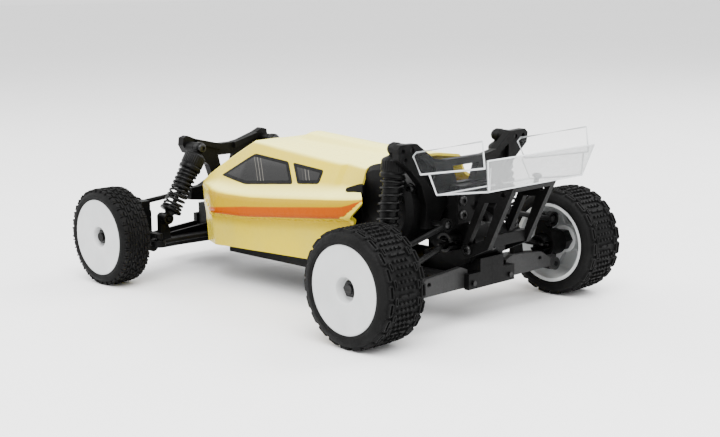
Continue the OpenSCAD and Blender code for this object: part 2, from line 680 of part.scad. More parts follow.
module tie_rod(s) {
    color(plastic) difference() {
        union() {
            rod([rack_x, s * rack_ball_y, tie_z], [rack_x, s * king_y, tie_z], 0.8);
            translate([rack_x, s * rack_ball_y, tie_z - 0.9]) cylinder(h = 1.8, r = 2);
            translate([rack_x, s * king_y, tie_z - 0.9]) cylinder(h = 1.8, r = open_r + 0.7);
        }
        // round socket, open for the stud above
        translate([rack_x, s * rack_ball_y, tie_z]) sphere(ball_r + run);
        translate([rack_x, s * rack_ball_y, tie_z]) cylinder(h = 2, r = ball_r - 0.2);
        translate([rack_x, s * king_y, tie_z - 2]) cylinder(h = 4, r = open_r);
    }
}

// ---------------------------------------------------------------- front suspension

module front_arm(s) {
    z = arm_in_f[1];
    color(plastic) on_side(s) difference() {
        union() {
            translate([0, 0, z - 1]) linear_extrude(3) difference() {
                polygon([[front_x - 9.8, 8.5], [front_x + 5.8, 8.5], [front_x + 4.4, 35.8],
                    [front_x + 2.4, 35.8], [front_x + 2.4, 33.2], [front_x - 4.4, 33.2],
                    [front_x - 4.4, 35.8], [front_x - 6.4, 35.8], [front_x - 8, 33.4], [front_x - 8, 26]]);
                polygon([[front_x - 4.6, 13], [front_x + 2, 13], [front_x + 1.4, 26], [front_x - 4, 26]]);
            }
            bar_x(front_x - 9.8, front_x + 5.8, arm_in_f, 2.1);
            bar_x(front_x - 6.4, front_x - 4.4, arm_out_f, 2.1);
            bar_x(front_x + 2.4, front_x + 4.4, arm_out_f, 2.1);
            // post and pin of the shock
            plate_x(shock_x_f + eye_w / 2 + 0.5, shock_x_f + eye_w / 2 + 2.5)
                polygon([[29.4, z + 1], [34, z + 1], [33.9, 22.4], [33, 23.3], [31.8, 23.3], [30.9, 22.4]]);
            bar_x(shock_x_f - eye_w / 2 - 0.3, shock_x_f + eye_w / 2 + 1, shock_low_f, 0.8);
            // ribs along both edges
            plate_x(front_x - 4.2, front_x - 3.2) polygon([[10, z + 1.9], [10, z + 4.4], [33, z + 2.6], [33, z + 1.9]]);
            plate_x(front_x + 2.4, front_x + 3.4) polygon([[10, z + 1.9], [10, z + 4.4], [33, z + 2.6], [33, z + 1.9]]);
        }
        bar_x(front_x - 11, front_x + 7, arm_in_f, pin_r + run);
        bar_x(front_x - 8, front_x + 6, arm_out_f, pin_r + run);
    }
}

module caster_block(s) {
    z = arm_out_f[1];
    color(plastic) on_side(s) {
        difference() {
            union() {
                bar_x(front_x - 4.2, front_x + 2.2, arm_out_f, 2.1);
                box([king_x - 2.2, 34.2, z - 0.6], [king_x + 2.2, 36.5, 24]);
                box([king_x - 2.2, 34.2, z - 0.6], [king_x + 2.2, 41.6, z + 2.2]);
                box([king_x - 2.2, 34.2, 21.8], [king_x + 2.2, 41.6, 24]);
                box([king_x - 2.2, 34.6, 23.9], [king_x + 2.2, 38, 27.4]);
            }
            bar_x(king_x, king_x + 3, link_out_f, pin_r);
        }
    }
    color(steel) on_side(s) {
        bar_x(front_x - 6.6, front_x - 4.1, arm_out_f, pin_r);
        bar_x(front_x + 2.1, front_x + 4.6, arm_out_f, pin_r);
        translate([king_x, king_y, z + 2.1]) cylinder(h = 20 - z, r = pin_r);
        translate([king_x, king_y, 24]) screw(1.5, 0.5);
        bar_x(king_x, link_x_f, link_out_f, pin_r);
        translate([link_x_f, link_out_f[0], link_out_f[1]]) sphere(ball_r);
    }
}

module knuckle(s) {
    z0 = arm_out_f[1] + 2.4;
    color(plastic) on_side(s) {
        difference() {
            union() {
                translate([king_x, king_y, z0]) cylinder(h = 21.6 - z0, r = 2.2);
                box([king_x - 2, king_y, z0], [king_x + 3.2, 42.6, 20]);
                bar_y(42.5, 43.6, [front_x, front_z], 2.8);
                translate([0, 0, tie_z + 1.7]) linear_extrude(1.6)
                    link_2d([king_x, king_y], [king_x - steer_arm, king_y], 2.6);
            }
            translate([king_x, king_y, z0 - 1]) cylinder(h = 12, r = pin_r + run);
        }
    }
    color(steel) on_side(s) {
        bar_y(43.5, front_wheel_y + 4.4, [front_x, front_z], axle_r);
        translate([front_x, front_wheel_y + 3.6, front_z]) rotate([90, 0, 0]) cylinder(h = 1.8, r = 2.5, $fn = 6);
        rod([king_x - steer_arm, king_y, tie_z], [king_x - steer_arm, king_y, tie_z + 1.8], 0.7);
        translate([king_x - steer_arm, king_y, tie_z]) sphere(ball_r);
    }
}

// Camber link in the plane x, inner eye closed on its ball, outer eye left open
module camber_link(x, a, b) {
    color(plastic) difference() {
        union() {
            rod([x, a[0], a[1]], [x, b[0], b[1]], 0.85);
            bar_x(x - 0.9, x + 0.9, a, 2);
            bar_x(x - 0.9, x + 0.9, b, open_r + 0.6);
        }
        bar_x(x - 2, x + 2, a, ball_r + run);
        bar_x(x - 2, x + 2, b, open_r);
    }
}
module front_camber_link(s) { on_side(s) camber_link(link_x_f, link_in_f, link_out_f); }
module rear_camber_link(s) { on_side(s) camber_link(link_x_r, link_in_r, link_out_r); }

// ---------------------------------------------------------------- shocks

shaft_r = 0.8;
spring_mean_r = 3.35;
wire_r = 0.42;

// Upper half of a shock: eye, screw cap and pressure cylinder, in the shock's frame
module shock_body(cap_end, tube_end) {
    color(dark) difference() {
        union() {
            translate([-eye_w / 2, 0, 0]) rotate([0, 90, 0]) cylinder(h = eye_w, r = eye_r);
            translate([0, 0, 1]) cylinder(h = 2, r = 1.3);
            rotate_extrude() polygon([[0, 2.6], [2.6, 2.6], [3.9, 3.6], [3.9, cap_end - 0.4], [3.5, cap_end],
                [2.8, cap_end], [2.8, tube_end - 0.5], [2.4, tube_end], [0, tube_end]]);
        }
        translate([-eye_w, 0, 0]) rotate([0, 90, 0]) cylinder(h = 2 * eye_w, r = pin_r + run);
        translate([0, 0, 2.9]) cylinder(h = tube_end, r = shaft_r + run);
    }
}

// Lower half: shaft, spring cup and eye
module shock_shaft(length, tube_end, reach) {
    color(steel) translate([0, 0, tube_end - reach]) cylinder(h = length - tube_end + reach - 1.5, r = shaft_r);
    color(dark) difference() {
        union() {
            rotate_extrude() polygon([[0, length - 4.4], [1.7, length - 4.4], [3.9, length - 3.6],
                [3.9, length - 2.9], [2, length - 2.5], [1.2, length - 1.2], [0, length - 1.2]]);
            translate([-eye_w / 2, 0, length]) rotate([0, 90, 0]) cylinder(h = eye_w, r = 2);
        }
        translate([-eye_w, 0, length]) rotate([0, 90, 0]) cylinder(h = 2 * eye_w, r = 1.3);
    }
}

// Round wire wound into a spring from z0 to z1
module coil(z0, z1, turns) {
    sides = 6;
    steps = 12 * turns;
    rise = (z1 - z0 - 2 * wire_r) / steps;
    points = [for (i = [0:steps], j = [0:sides - 1])
        let (a = 30 * i, b = 360 * j / sides, r = spring_mean_r + wire_r * cos(b))
        [r * cos(a), r * sin(a), z0 + wire_r + rise * i + wire_r * sin(b)]];
    faces = concat([[for (j = [0:sides - 1]) j]],
        [for (i = [0:steps - 1], j = [0:sides - 1]) let (k = (j + 1) % sides)
            [i * sides + j, (i + 1) * sides + j, (i + 1) * sides + k, i * sides + k]],
        [[for (j = [sides - 1:-1:0]) steps * sides + j]]);
    polyhedron(points, faces);
}

cap_end_f = 8.8;
tube_end_f = 16.6;
cap_end_r = 8.6;
tube_end_r = 22;
module front_shock(s) { shock_frame(s, shock_x_f, shock_top_f, shock_low_f) children(); }
module rear_shock(s) { shock_frame(s, shock_x_r, shock_top_r, shock_low_r) children(); }
module front_shock_body(s) { front_shock(s) shock_body(cap_end_f, tube_end_f); }
module rear_shock_body(s) { rear_shock(s) shock_body(cap_end_r, tube_end_r); }
module front_shock_shaft(s) { front_shock(s) shock_shaft(shock_len_f, tube_end_f, 6.5); }
module rear_shock_shaft(s) { rear_shock(s) shock_shaft(shock_len_r, tube_end_r, 10); }
module front_spring(s) { color(dark) front_shock(s) coil(cap_end_f + 0.05, shock_len_f - 3.65, front_turns); }
module rear_spring(s) { color(dark) rear_shock(s) coil(cap_end_r + 0.05, shock_len_r - 3.65, rear_turns); }

// ---------------------------------------------------------------- rear suspension

module rear_arm(s) {
    z = ride_h + 0.6;
    color(plastic) on_side(s) difference() {
        union() {
            translate([0, 0, z]) linear_extrude(3) difference() {
                polygon([[rear_x - 6.2, 8.5], [rear_x + 14.2, 8.5], [rear_x + 9, 30.5], [rear_x + 5, 35.6],
                    [rear_x + 3.4, 35.6], [rear_x + 3.4, 30.6], [rear_x - 3.4, 30.6], [rear_x - 3.4, 35.6],
                    [rear_x - 5, 35.6], [rear_x - 6.2, 31]]);
                polygon([[rear_x - 2.6, 13], [rear_x + 6.6, 13], [rear_x + 3, 27], [rear_x - 2.6, 27]]);
            }
            bar_x(rear_x - 6.2, rear_x + 14.2, arm_in_r, 2.1);
            bar_x(rear_x - 5, rear_x - 3.4, arm_out_r, 2.1);
            bar_x(rear_x + 3.4, rear_x + 5, arm_out_r, 2.1);
            // tall rear face
            plate_x(rear_x - 6.2, rear_x - 4.6) difference() {
                polygon([[9, z], [9, z + 5.4], [12, z + 6.6], [27, z + 5.4], [31.5, z + 2.8], [31.5, z]]);
                translate([26, z + 3.4]) circle(0.8);
            }
            // post and pin of the shock
            plate_x(shock_x_r - eye_w / 2 - 2.5, shock_x_r - eye_w / 2 - 0.5)
                polygon([[26.6, z + 1], [32.4, z + 1], [31.2, 19.4], [30.4, 20.2], [28.6, 20.2], [27.8, 19.4]]);
            bar_x(shock_x_r - eye_w / 2 - 1, shock_x_r + eye_w / 2 + 0.3, shock_low_r, 0.8);
        }
        bar_x(rear_x - 8, rear_x + 16, arm_in_r, pin_r + run);
        bar_x(rear_x - 8, rear_x + 6, arm_out_r, pin_r + run);
    }
}

module hub_carrier(s) {
    c = [rear_x, rear_z];
    color(plastic) on_side(s) {
        difference() {
            union() {
                bar_x(rear_x - 3, rear_x + 3, arm_out_r, 2.1);
                bar_y(35.5, 42.4, c, 4.3);
                box([rear_x - 2.8, 35.5, arm_out_r[1]], [rear_x + 2.8, 38.9, rear_z]);
                plate_y(35.5, 38.2) polygon([[rear_x - 4, rear_z + 1], [rear_x + 4, rear_z + 1],
                    [rear_x + 1.2, 27.6], [rear_x - 1.4, 27.6], [rear_x - 1.4, 23], [rear_x - 3.2, 22]]);
            }
            bar_y(34, 44, c, axle_r + run);
            // well for the drive cup
            bar_y(34, 38, c, 3.4);
        }
    }
    color(steel) on_side(s) {
        bar_x(rear_x - 5.2, rear_x - 2.9, arm_out_r, pin_r);
        bar_x(rear_x + 2.9, rear_x + 5.2, arm_out_r, pin_r);
        bar_x(link_x_r, rear_x - 1.2, link_out_r, pin_r);
        translate([link_x_r, link_out_r[0], link_out_r[1]]) sphere(ball_r);
    }
}

// ---------------------------------------------------------------- wheels

// A wheel is made about +Y through its centre, outer face towards +Y
module wheel_frame(s, x, y, z) {
    on_side(s) translate([x, y, z]) rotate([-90, 0, 0]) children();
}

// Dish rim: v0 and v1 are the inner and outer edges along the axle, hub from h0 to h1
module rim(v0, v1, h0, h1, bore) {
    r = rim_d / 2;
    color(white) rotate_extrude($fn = 96) polygon([[bore, h0], [4.4, h0], [4.4, h1 - 0.4], [4.4, v1 - 1.7],
        [r - 1.3, v1 - 1.3], [r - 1.3, v0], [r, v0], [r, v0 + 0.7], [r - 0.5, v0 + 1.1],
        [r - 0.5, v1 - 1], [r, v1 - 0.7], [r, v1 - 0.1], [r - 0.3, v1], [3.5, v1 - 0.8], [3.5, h1], [bore, h1]]);
}

// Tyre ring with beads that grip the rim, a square crown and a sealed air space
module tyre(v0, v1, d, edge) {
    r = rim_d / 2;
    t = d / 2;
    color(rubber) rotate_extrude($fn = 96) polygon([[r - 0.5, v0 + 1.1], [r, v0 + 0.7], [r + 0.1, v0 + 0.2],
        [r + 1.4, v0], [t - edge, v0 + 0.5], [t - 0.4, v0 + edge], [t, v0 + edge + 1.2], [t, v1 - edge - 1.2],
        [t - 0.4, v1 - edge], [t - edge, v1 - 0.5], [r + 1.4, v1], [r + 0.1, v1 - 0.2], [r, v1 - 0.7],
        [r - 0.5, v1 - 1], [r - 0.5, v1 - 2.4], [r + 0.9, v1 - 2.4], [r + 0.9, v0 + 2.4], [r - 0.5, v0 + 2.4]]);
}

front_half_w = front_tyre_w / 2;
rear_half_w = rear_tyre_w / 2;
module front_rim(s) {
    wheel_frame(s, front_x, front_wheel_y, front_z)
        rim(-front_half_w, front_half_w, -5.4, 1.6, axle_r + run);
}
module front_tyre(s) {
    wheel_frame(s, front_x, front_wheel_y, front_z) tyre(-front_half_w, front_half_w, front_tyre_d, 1.7);
}
module rear_rim(s) {
    wheel_frame(s, rear_x, rear_wheel_y, rear_z) rim(-rear_half_w, rear_half_w, 0.6, 4, axle_r);
}
module rear_tyre(s) {
    wheel_frame(s, rear_x, rear_wheel_y, rear_z) tyre(-rear_half_w, rear_half_w, rear_tyre_d, 2);
}

module rear_axle(s) {
    c = [rear_x, rear_z];
    hub_y = rear_wheel_y + 0.6;
    color(steel) on_side(s) {
        drive_cup(37.8, 32.5, c, 3.1, 2.3, 1.2);
        bar_y(37.7, rear_wheel_y + 6.4, c, axle_r);
        // wheel hex and nut
        translate([rear_x, hub_y, rear_z]) rotate([90, 0, 0]) cylinder(h = hub_y - 42.7, r = 3.6, $fn = 6);
        translate([rear_x, rear_wheel_y + 5.8, rear_z]) rotate([90, 0, 0]) cylinder(h = 1.8, r = 2.5, $fn = 6);
    }
}

// ---------------------------------------------------------------- nodes

chassis_tub();
front_bumper();
front_shock_tower();
rear_shock_tower();
gearbox_case();
gear_cover();
motor();
wing_mount();
rear_wing();
steering_servo();
battery();
receiver_unit();
pins_and_screws();
body_shell();
motor_pinion();
spur_gear();
idler_gear();
differential();
drive_shaft(1);  // drive_shaft_left
drive_shaft(-1);  // drive_shaft_right
servo_horn();
steering_rack();
tie_rod(1);  // tie_rod_left
tie_rod(-1);  // tie_rod_right
front_arm(1);  // front_arm_left
front_arm(-1);  // front_arm_right
caster_block(1);  // caster_block_left
caster_block(-1);  // caster_block_right
knuckle(1);  // knuckle_left
knuckle(-1);  // knuckle_right
front_camber_link(1);  // front_camber_link_left
front_camber_link(-1);  // front_camber_link_right
front_shock_body(1);  // front_shock_body_left
front_shock_body(-1);  // front_shock_body_right
front_shock_shaft(1);  // front_shock_shaft_left
front_shock_shaft(-1);  // front_shock_shaft_right
front_spring(1);  // front_spring_left
front_spring(-1);  // front_spring_right
front_rim(1);  // front_rim_left
front_rim(-1);  // front_rim_right
front_tyre(1);  // front_tyre_left
front_tyre(-1);  // front_tyre_right
rear_arm(1);  // rear_arm_left
rear_arm(-1);  // rear_arm_right
hub_carrier(1);  // hub_carrier_left
hub_carrier(-1);  // hub_carrier_right
rear_camber_link(1);  // rear_camber_link_left
rear_camber_link(-1);  // rear_camber_link_right
rear_shock_body(1);  // rear_shock_body_left
rear_shock_body(-1);  // rear_shock_body_right
rear_shock_shaft(1);  // rear_shock_shaft_left
rear_shock_shaft(-1);  // rear_shock_shaft_right
rear_spring(1);  // rear_spring_left
rear_spring(-1);  // rear_spring_right
rear_rim(1);  // rear_rim_left
rear_rim(-1);  // rear_rim_right
rear_tyre(1);  // rear_tyre_left
rear_tyre(-1);  // rear_tyre_right
rear_axle(1);  // rear_axle_left
rear_axle(-1);  // rear_axle_right
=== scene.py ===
import json
import math

import bmesh
import bpy
from mathutils import Matrix, Vector
from mathutils.bvhtree import BVHTree


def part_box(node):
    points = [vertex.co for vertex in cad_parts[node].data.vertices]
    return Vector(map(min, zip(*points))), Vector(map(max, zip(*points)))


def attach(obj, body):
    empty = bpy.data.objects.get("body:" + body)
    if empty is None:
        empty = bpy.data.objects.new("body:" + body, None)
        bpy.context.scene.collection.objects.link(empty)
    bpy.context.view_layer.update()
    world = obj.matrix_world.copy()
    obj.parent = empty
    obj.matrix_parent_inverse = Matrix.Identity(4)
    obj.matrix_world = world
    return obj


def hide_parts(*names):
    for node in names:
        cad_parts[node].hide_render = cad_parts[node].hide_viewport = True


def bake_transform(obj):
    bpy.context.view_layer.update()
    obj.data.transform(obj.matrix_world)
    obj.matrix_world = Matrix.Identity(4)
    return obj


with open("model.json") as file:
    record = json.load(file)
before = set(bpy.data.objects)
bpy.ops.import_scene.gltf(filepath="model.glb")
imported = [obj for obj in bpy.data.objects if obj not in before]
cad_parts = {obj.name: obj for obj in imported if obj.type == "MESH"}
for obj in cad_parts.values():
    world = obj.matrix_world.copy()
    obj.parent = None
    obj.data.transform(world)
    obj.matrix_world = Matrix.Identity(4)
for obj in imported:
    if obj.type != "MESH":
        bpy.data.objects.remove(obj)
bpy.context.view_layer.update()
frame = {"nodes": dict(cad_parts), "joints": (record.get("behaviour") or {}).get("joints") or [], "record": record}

MM = 0.001
SIDES = {"left": 1, "right": -1}
nodes = frame["nodes"]

# ---------------------------------------------------------------- places taken from the frame


def middle(node):
    low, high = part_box(node)
    return (low + high) / 2


def size(node):
    low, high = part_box(node)
    return high - low


def joint(name):
    return next(j for j in frame["joints"] if j["name"] == name)


# ---------------------------------------------------------------- materials


def add(tree, kind, **values):
    node = tree.nodes.new(kind)
    for key, value in values.items():
        if hasattr(node, key):
            setattr(node, key, value)
        else:
            node.inputs[key].default_value = value
    return node


def ramp(tree, source, stops):
    """Colour ramp with stops of (place, grey or colour)."""
    node = tree.nodes.new("ShaderNodeValToRGB")
    node.color_ramp.interpolation = "LINEAR"
    elements = node.color_ramp.elements
    while len(elements) < len(stops):
        elements.new(0.5)
    for element, (place, value) in zip(elements, stops):
        element.position = place
        colour = value if isinstance(value, tuple) else (value,) * 3
        element.color = (*colour[:3], 1)
    tree.links.new(source, node.inputs["Fac"])
    return node.outputs["Color"]


NOISE_ROUGHNESS = 0.55


def noise(tree, coords, scale, detail=3.0):
    node = add(tree, "ShaderNodeTexNoise", Scale=scale, Detail=detail, Roughness=NOISE_ROUGHNESS)
    tree.links.new(coords, node.inputs["Vector"])
    return node.outputs["Fac"]


def maths(tree, operation, *args):
    node = tree.nodes.new("ShaderNodeMath")
    node.operation = operation
    for slot, value in zip(node.inputs, args):
        if isinstance(value, (int, float)):
            slot.default_value = value
        else:
            tree.links.new(value, slot)
    return node.outputs[0]


def start_material(name):
    mat = bpy.data.materials.new(name)
    mat.use_nodes = True
    tree = mat.node_tree
    shader = tree.nodes["Principled BSDF"]
    coords = tree.nodes.new("ShaderNodeTexCoord").outputs["Object"]
    return mat, tree, shader, coords


def mix_colour(tree, factor, a, b):
    node = tree.nodes.new("ShaderNodeMix")
    node.data_type = "RGBA"
    for slot, value in ((node.inputs["Factor"], factor), (node.inputs["A"], a), (node.inputs["B"], b)):
        if isinstance(value, bpy.types.NodeSocket):
            tree.links.new(value, slot)
        elif isinstance(value, tuple):
            slot.default_value = (*value[:3], 1)
        else:
            slot.default_value = value
    return node.outputs["Result"]


def bump(tree, shader, height, strength, distance):
    node = add(tree, "ShaderNodeBump", Strength=strength, Distance=distance)
    tree.links.new(height, node.inputs["Height"])
    tree.links.new(node.outputs["Normal"], shader.inputs["Normal"])


def surface(name, dark, light, rough, grain=900, bump_mm=0.02, patch=120, coat=0.0, specular=0.5):
    """A moulded or machined surface: two near tones in patches, fine grain in gloss and height."""
    mat, tree, shader, coords = start_material(name)
    tone = noise(tree, coords, patch, 4)
    tree.links.new(ramp(tree, tone, [(0.32, dark), (0.68, light)]), shader.inputs["Base Color"])
    fine = noise(tree, coords, grain, 2)
    tree.links.new(ramp(tree, fine, [(0.3, rough[0]), (0.7, rough[1])]), shader.inputs["Roughness"])
    bump(tree, shader, fine, 0.5, bump_mm * MM)
    shader.inputs["Coat Weight"].default_value = coat
    shader.inputs["Specular IOR Level"].default_value = specular
    return mat


def brushed(name, dark, light, rough):
    """Turned or drawn metal: fine lines along X of the part."""
    stretch = (1, 40, 40)
    mat, tree, shader, coords = start_material(name)
    mapping = tree.nodes.new("ShaderNodeMapping")
    mapping.inputs["Scale"].default_value = stretch
    tree.links.new(coords, mapping.inputs["Vector"])
    lines = noise(tree, mapping.outputs["Vector"], 60, 2)
    tree.links.new(ramp(tree, lines, [(0.3, dark), (0.7, light)]), shader.inputs["Base Color"])
    tree.links.new(ramp(tree, lines, [(0.3, rough[0]), (0.7, rough[1])]), shader.inputs["Roughness"])
    shader.inputs["Metallic"].default_value = 1.0
    return mat


# Body paint: two tones of cream, the two bands with the dark line under them, painted light on faces turned up,
# and the fade
CREAM = (0.50, 0.395, 0.045)
PALE = (0.56, 0.43, 0.012)
YELLOW = (0.32, 0.205, 0.0)
ORANGE = (0.28, 0.048, 0.0)
DEEP = (0.20, 0.036, 0.0)
# paler yellow for faces turned up: painted light from above, the same paint as the sides
TOP_LIGHT = (0.92, 0.86, 0.27)
LEMON = (0.38, 0.255, 0.0)


def paint():
    """Body paint: cream, made paler on faces turned up as painted light, with a yellow and an orange band along
    the pods and a soft lemon fade under them.
    """
    mat, tree, shader, coords = start_material("body_paint")
    axes = tree.nodes.new("ShaderNodeSeparateXYZ")
    tree.links.new(coords, axes.inputs[0])
    x = maths(tree, "MULTIPLY", axes.outputs["X"], 1 / MM)
    band = tree.nodes.new("ShaderNodeAttribute")
    band.attribute_name = "band"
    # band levels from -0.7, under the pod, to 1.3 become places from 0 to 1 on the ramps
    lowest, span = -0.7, 2
    place = maths(tree, "DIVIDE", maths(tree, "ADD", band.outputs["Fac"], -lowest), span)
    stops = [(0.10, 0.0), (0.27, 1.0), (0.345, 1.0), (0.35, 0.0)]
    cloud = noise(tree, coords, 45, 3)
    cream = ramp(tree, cloud, [(0.35, CREAM), (0.65, PALE)])
    up = tree.nodes.new("ShaderNodeSeparateXYZ")
    tree.links.new(coords.node.outputs["Normal"], up.inputs[0])
    # faces turned up blend towards the paler yellow: painted light from above
    cream = mix_colour(tree, ramp(tree, up.outputs["Z"], [(0.55, 0.0), (0.95, 1.0)]), cream, TOP_LIGHT)
    fade = mix_colour(tree, ramp(tree, place, stops), cream, LEMON)
    bands = ramp(tree, place, [(0.35, DEEP), (0.375, ORANGE), (0.585, ORANGE), (0.61, YELLOW), (0.82, YELLOW),
                               (0.85, PALE)])
    within = ramp(tree, place, [(0.342, 0.0), (0.352, 1.0), (0.82, 1.0), (0.86, 0.0)])
    painted = mix_colour(tree, within, fade, bands)
    bands_end, fade_length = 38, 5
    past_end = maths(tree, "DIVIDE", maths(tree, "SUBTRACT", x, bands_end), fade_length)
    front = ramp(tree, past_end, [(0.1, 0.0), (0.75, 1.0)])
    tree.links.new(mix_colour(tree, front, painted, cream), shader.inputs["Base Color"])
    fine = noise(tree, coords, 500, 2)
    tree.links.new(ramp(tree, fine, [(0.3, 0.24), (0.7, 0.32)]), shader.inputs["Roughness"])
    bump(tree, shader, noise(tree, coords, 70, 2), 0.2, 0.08 * MM)
    shader.inputs["Specular IOR Level"].default_value = 0.05
    shader.inputs["Specular Tint"].default_value = (1.0, 0.75, 0.2, 1.0)
    shader.inputs["Coat Weight"].default_value = 0.015
    shader.inputs["Coat Roughness"].default_value = 0.12
    return mat


def window_glass():
    """Smoked window: a grey gradient with a few thin slanted streaks."""
    mat, tree, shader, coords = start_material("window_glass")
    axes = tree.nodes.new("ShaderNodeSeparateXYZ")
    tree.links.new(coords, axes.inputs[0])
    sill_z, window_h, slope = 36, 12, 0.9
    half_pitch, group_half, group_shift = 0.8, 12.2, 19.5
    x = maths(tree, "MULTIPLY", axes.outputs["X"], 1 / MM)
    z = maths(tree, "MULTIPLY", axes.outputs["Z"], 1 / MM)
    rise = maths(tree, "DIVIDE", maths(tree, "SUBTRACT", z, sill_z), window_h)
    fade = ramp(tree, rise, [(0.0, 0.002), (0.55, 0.009), (1.0, 0.035)])
    slant = maths(tree, "SUBTRACT", x, maths(tree, "MULTIPLY", z, slope))
    # streaks repeat every two half pitches, inside one narrow group per window
    wave = maths(tree, "PINGPONG", slant, half_pitch)
    line = ramp(tree, wave, [(0.0, 1.0), (0.16, 0.0), (1.0, 0.0)])
    group = maths(tree, "PINGPONG", maths(tree, "ADD", slant, group_shift), group_half)
    in_group = maths(tree, "DIVIDE", group, group_half)
    where = ramp(tree, in_group, [(0.0, 0.6), (0.15, 0.45), (0.2, 0.0), (1.0, 0.0)])
    streak = maths(tree, "MULTIPLY", line, where)
    tree.links.new(mix_colour(tree, streak, fade, (0.30, 0.28, 0.24)), shader.inputs["Base Color"])
    fine = noise(tree, coords, 600, 2)
    tree.links.new(ramp(tree, fine, [(0.3, 0.2), (0.7, 0.3)]), shader.inputs["Roughness"])
    shader.inputs["Specular IOR Level"].default_value = 0.06
    return mat


def clear_sheet(name, tone, alpha, rough):
    """Clear plastic sheet with a faint haze in its tone."""
    mat, tree, shader, coords = start_material(name)
    haze = noise(tree, coords, 150, 3)
    low = tuple(t * 0.96 for t in tone)
    tree.links.new(ramp(tree, haze, [(0.35, low), (0.65, tone)]), shader.inputs["Base Color"])
    fine = noise(tree, coords, 700, 2)
    tree.links.new(ramp(tree, fine, [(0.3, rough), (0.7, rough + 0.06)]), shader.inputs["Roughness"])
    shader.inputs["Alpha"].default_value = alpha
    return mat


NYLON = surface("black_nylon", 0.0012, 0.0028, (0.40, 0.54), grain=1400, bump_mm=0.03, specular=0.07)
# black nylon drawn lighter for the rear arms: painted light where the light falls on them
LIT_NYLON = surface("lit_black_nylon", 0.007, 0.012, (0.42, 0.56), grain=1400, bump_mm=0.03, specular=0.2)
SHOCK = surface("shock_plastic", 0.0012, 0.0028, (0.30, 0.40), grain=1200, bump_mm=0.01, specular=0.08)
RUBBER = surface("tyre_rubber", 0.0016, 0.0045, (0.60, 0.78), grain=1600, bump_mm=0.05,
                 patch=220, specular=0.09)
WHITE = surface("white_nylon", (0.42, 0.43, 0.43), (0.47, 0.48, 0.48), (0.34, 0.44),
                grain=900, bump_mm=0.01, specular=0.3)
ACETAL = surface("gear_acetal", (0.50, 0.49, 0.45), (0.60, 0.59, 0.55), (0.36, 0.48), grain=1000)
SPRING = surface("spring_coating", 0.002, 0.005, (0.30, 0.42), grain=1500, bump_mm=0.01, specular=0.12)
CASE = surface("electronics_case", 0.012, 0.022, (0.45, 0.60), grain=1800, bump_mm=0.04, specular=0.3)
WRAP = surface("battery_wrap", (0.008, 0.022, 0.06), (0.014, 0.035, 0.085), (0.32, 0.44),
               grain=500, coat=0.05, specular=0.15)
STEEL = brushed("bright_steel", 0.16, 0.30, (0.22, 0.36))
BLACK_STEEL = brushed("blackened_steel", 0.012, 0.035, (0.34, 0.48))
BRASS = brushed("machined_brass", (0.40, 0.25, 0.08), (0.55, 0.36, 0.14), (0.25, 0.38))
PAINT = paint()
VANE_PAINT = surface("vane_paint", (0.56, 0.42, 0.03), (0.62, 0.47, 0.05), (0.25, 0.35),
                     grain=300, bump_mm=0.004, specular=0.1)
GLASS = window_glass()
OUTLINE = surface("window_outline", 0.0008, 0.002, (0.36, 0.48), grain=700, bump_mm=0.005, specular=0.05)
CLEAR = clear_sheet("clear_wing", (0.40, 0.42, 0.43), 0.016, 0.12)
FROSTED = clear_sheet("wing_blade", (0.40, 0.41, 0.41), 0.42, 0.25)
# bright strips along the wing's clear edges: painted highlights
EDGE_HIGHLIGHT = clear_sheet("wing_edge_highlight", (0.62, 0.64, 0.65), 0.9, 0.25)

# ---------------------------------------------------------------- mesh helpers


def make(name, verts, faces, mat, body, slot, replaces=(), smooth_deg=35, at=None):
    """A finished piece from vertices in millimetres; it rides on its body at once."""
    mesh = bpy.data.meshes.new(name)
    mesh.from_pydata([tuple(c * MM for c in v) for v in verts], [], faces)
    bm = bmesh.new()
    bm.from_mesh(mesh)
    bmesh.ops.remove_doubles(bm, verts=bm.verts, dist=0.002 * MM)
    bmesh.ops.recalc_face_normals(bm, faces=bm.faces)
    bm.to_mesh(mesh)
    bm.free()
    if at is not None:
        mesh.transform(at)
    piece = bpy.data.objects.new(name, mesh)
    bpy.context.scene.collection.objects.link(piece)
    mesh.materials.append(mat)
    shade(mesh, smooth_deg)
    finish_piece(piece, body, replaces)
    return piece


def shade(mesh, smooth_deg):
    mesh.polygons.foreach_set("use_smooth", [True] * len(mesh.polygons))
    mesh.set_sharp_from_angle(angle=math.radians(smooth_deg))


def finish_piece(piece, body, replaces):
    if body:
        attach(piece, body)
    if replaces:
        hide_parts(*replaces)


def revolve(profile, segments=96, wave=None):
    """Vertices and faces of a closed (radius, height) profile turned about Z.

    wave(angle, i) adds to the radius of profile point i.
    """
    verts, faces = [], []
    count = len(profile)
    for s in range(segments):
        angle = 2 * math.pi * s / segments
        for i, (r, h) in enumerate(profile):
            radius = r + (wave(angle, i) if wave else 0)
            verts.append((radius * math.cos(angle), radius * math.sin(angle), h))
    for s in range(segments):
        t = (s + 1) % segments
        for i in range(count):
            k = (i + 1) % count
            faces.append((s * count + i, t * count + i, t * count + k, s * count + k))
    return verts, faces


def rounded(points, radii, steps=4, closed=False):
    """Corner-rounded copy of a polyline of 2D points, with the same count of points for any shape."""
    out = []
    last = len(points) - 1
    for i, point in enumerate(points):
        radius = radii[i] if isinstance(radii, (list, tuple)) else radii
        if not closed and i in (0, last):
            out.append(tuple(point))
            continue
        here = Vector(point)
        a = Vector(points[i - 1]) - here
        b = Vector(points[(i + 1) % len(points)]) - here
        reach = min(radius, 0.45 * a.length, 0.45 * b.length)
        start = here + a.normalized() * reach
        end = here + b.normalized() * reach
        for k in range(steps + 1):
            t = k / steps
            out.append(tuple((1 - t) ** 2 * start + 2 * t * (1 - t) * here + t ** 2 * end))
    return out


def axle_frame(side, centre):
    """Matrix that turns a wheel made about +Z, outer face up, to its place on the axle."""
    turn = Matrix.Rotation(math.radians(-90 * side), 4, "X")
    return Matrix.Translation(Vector(centre)) @ turn


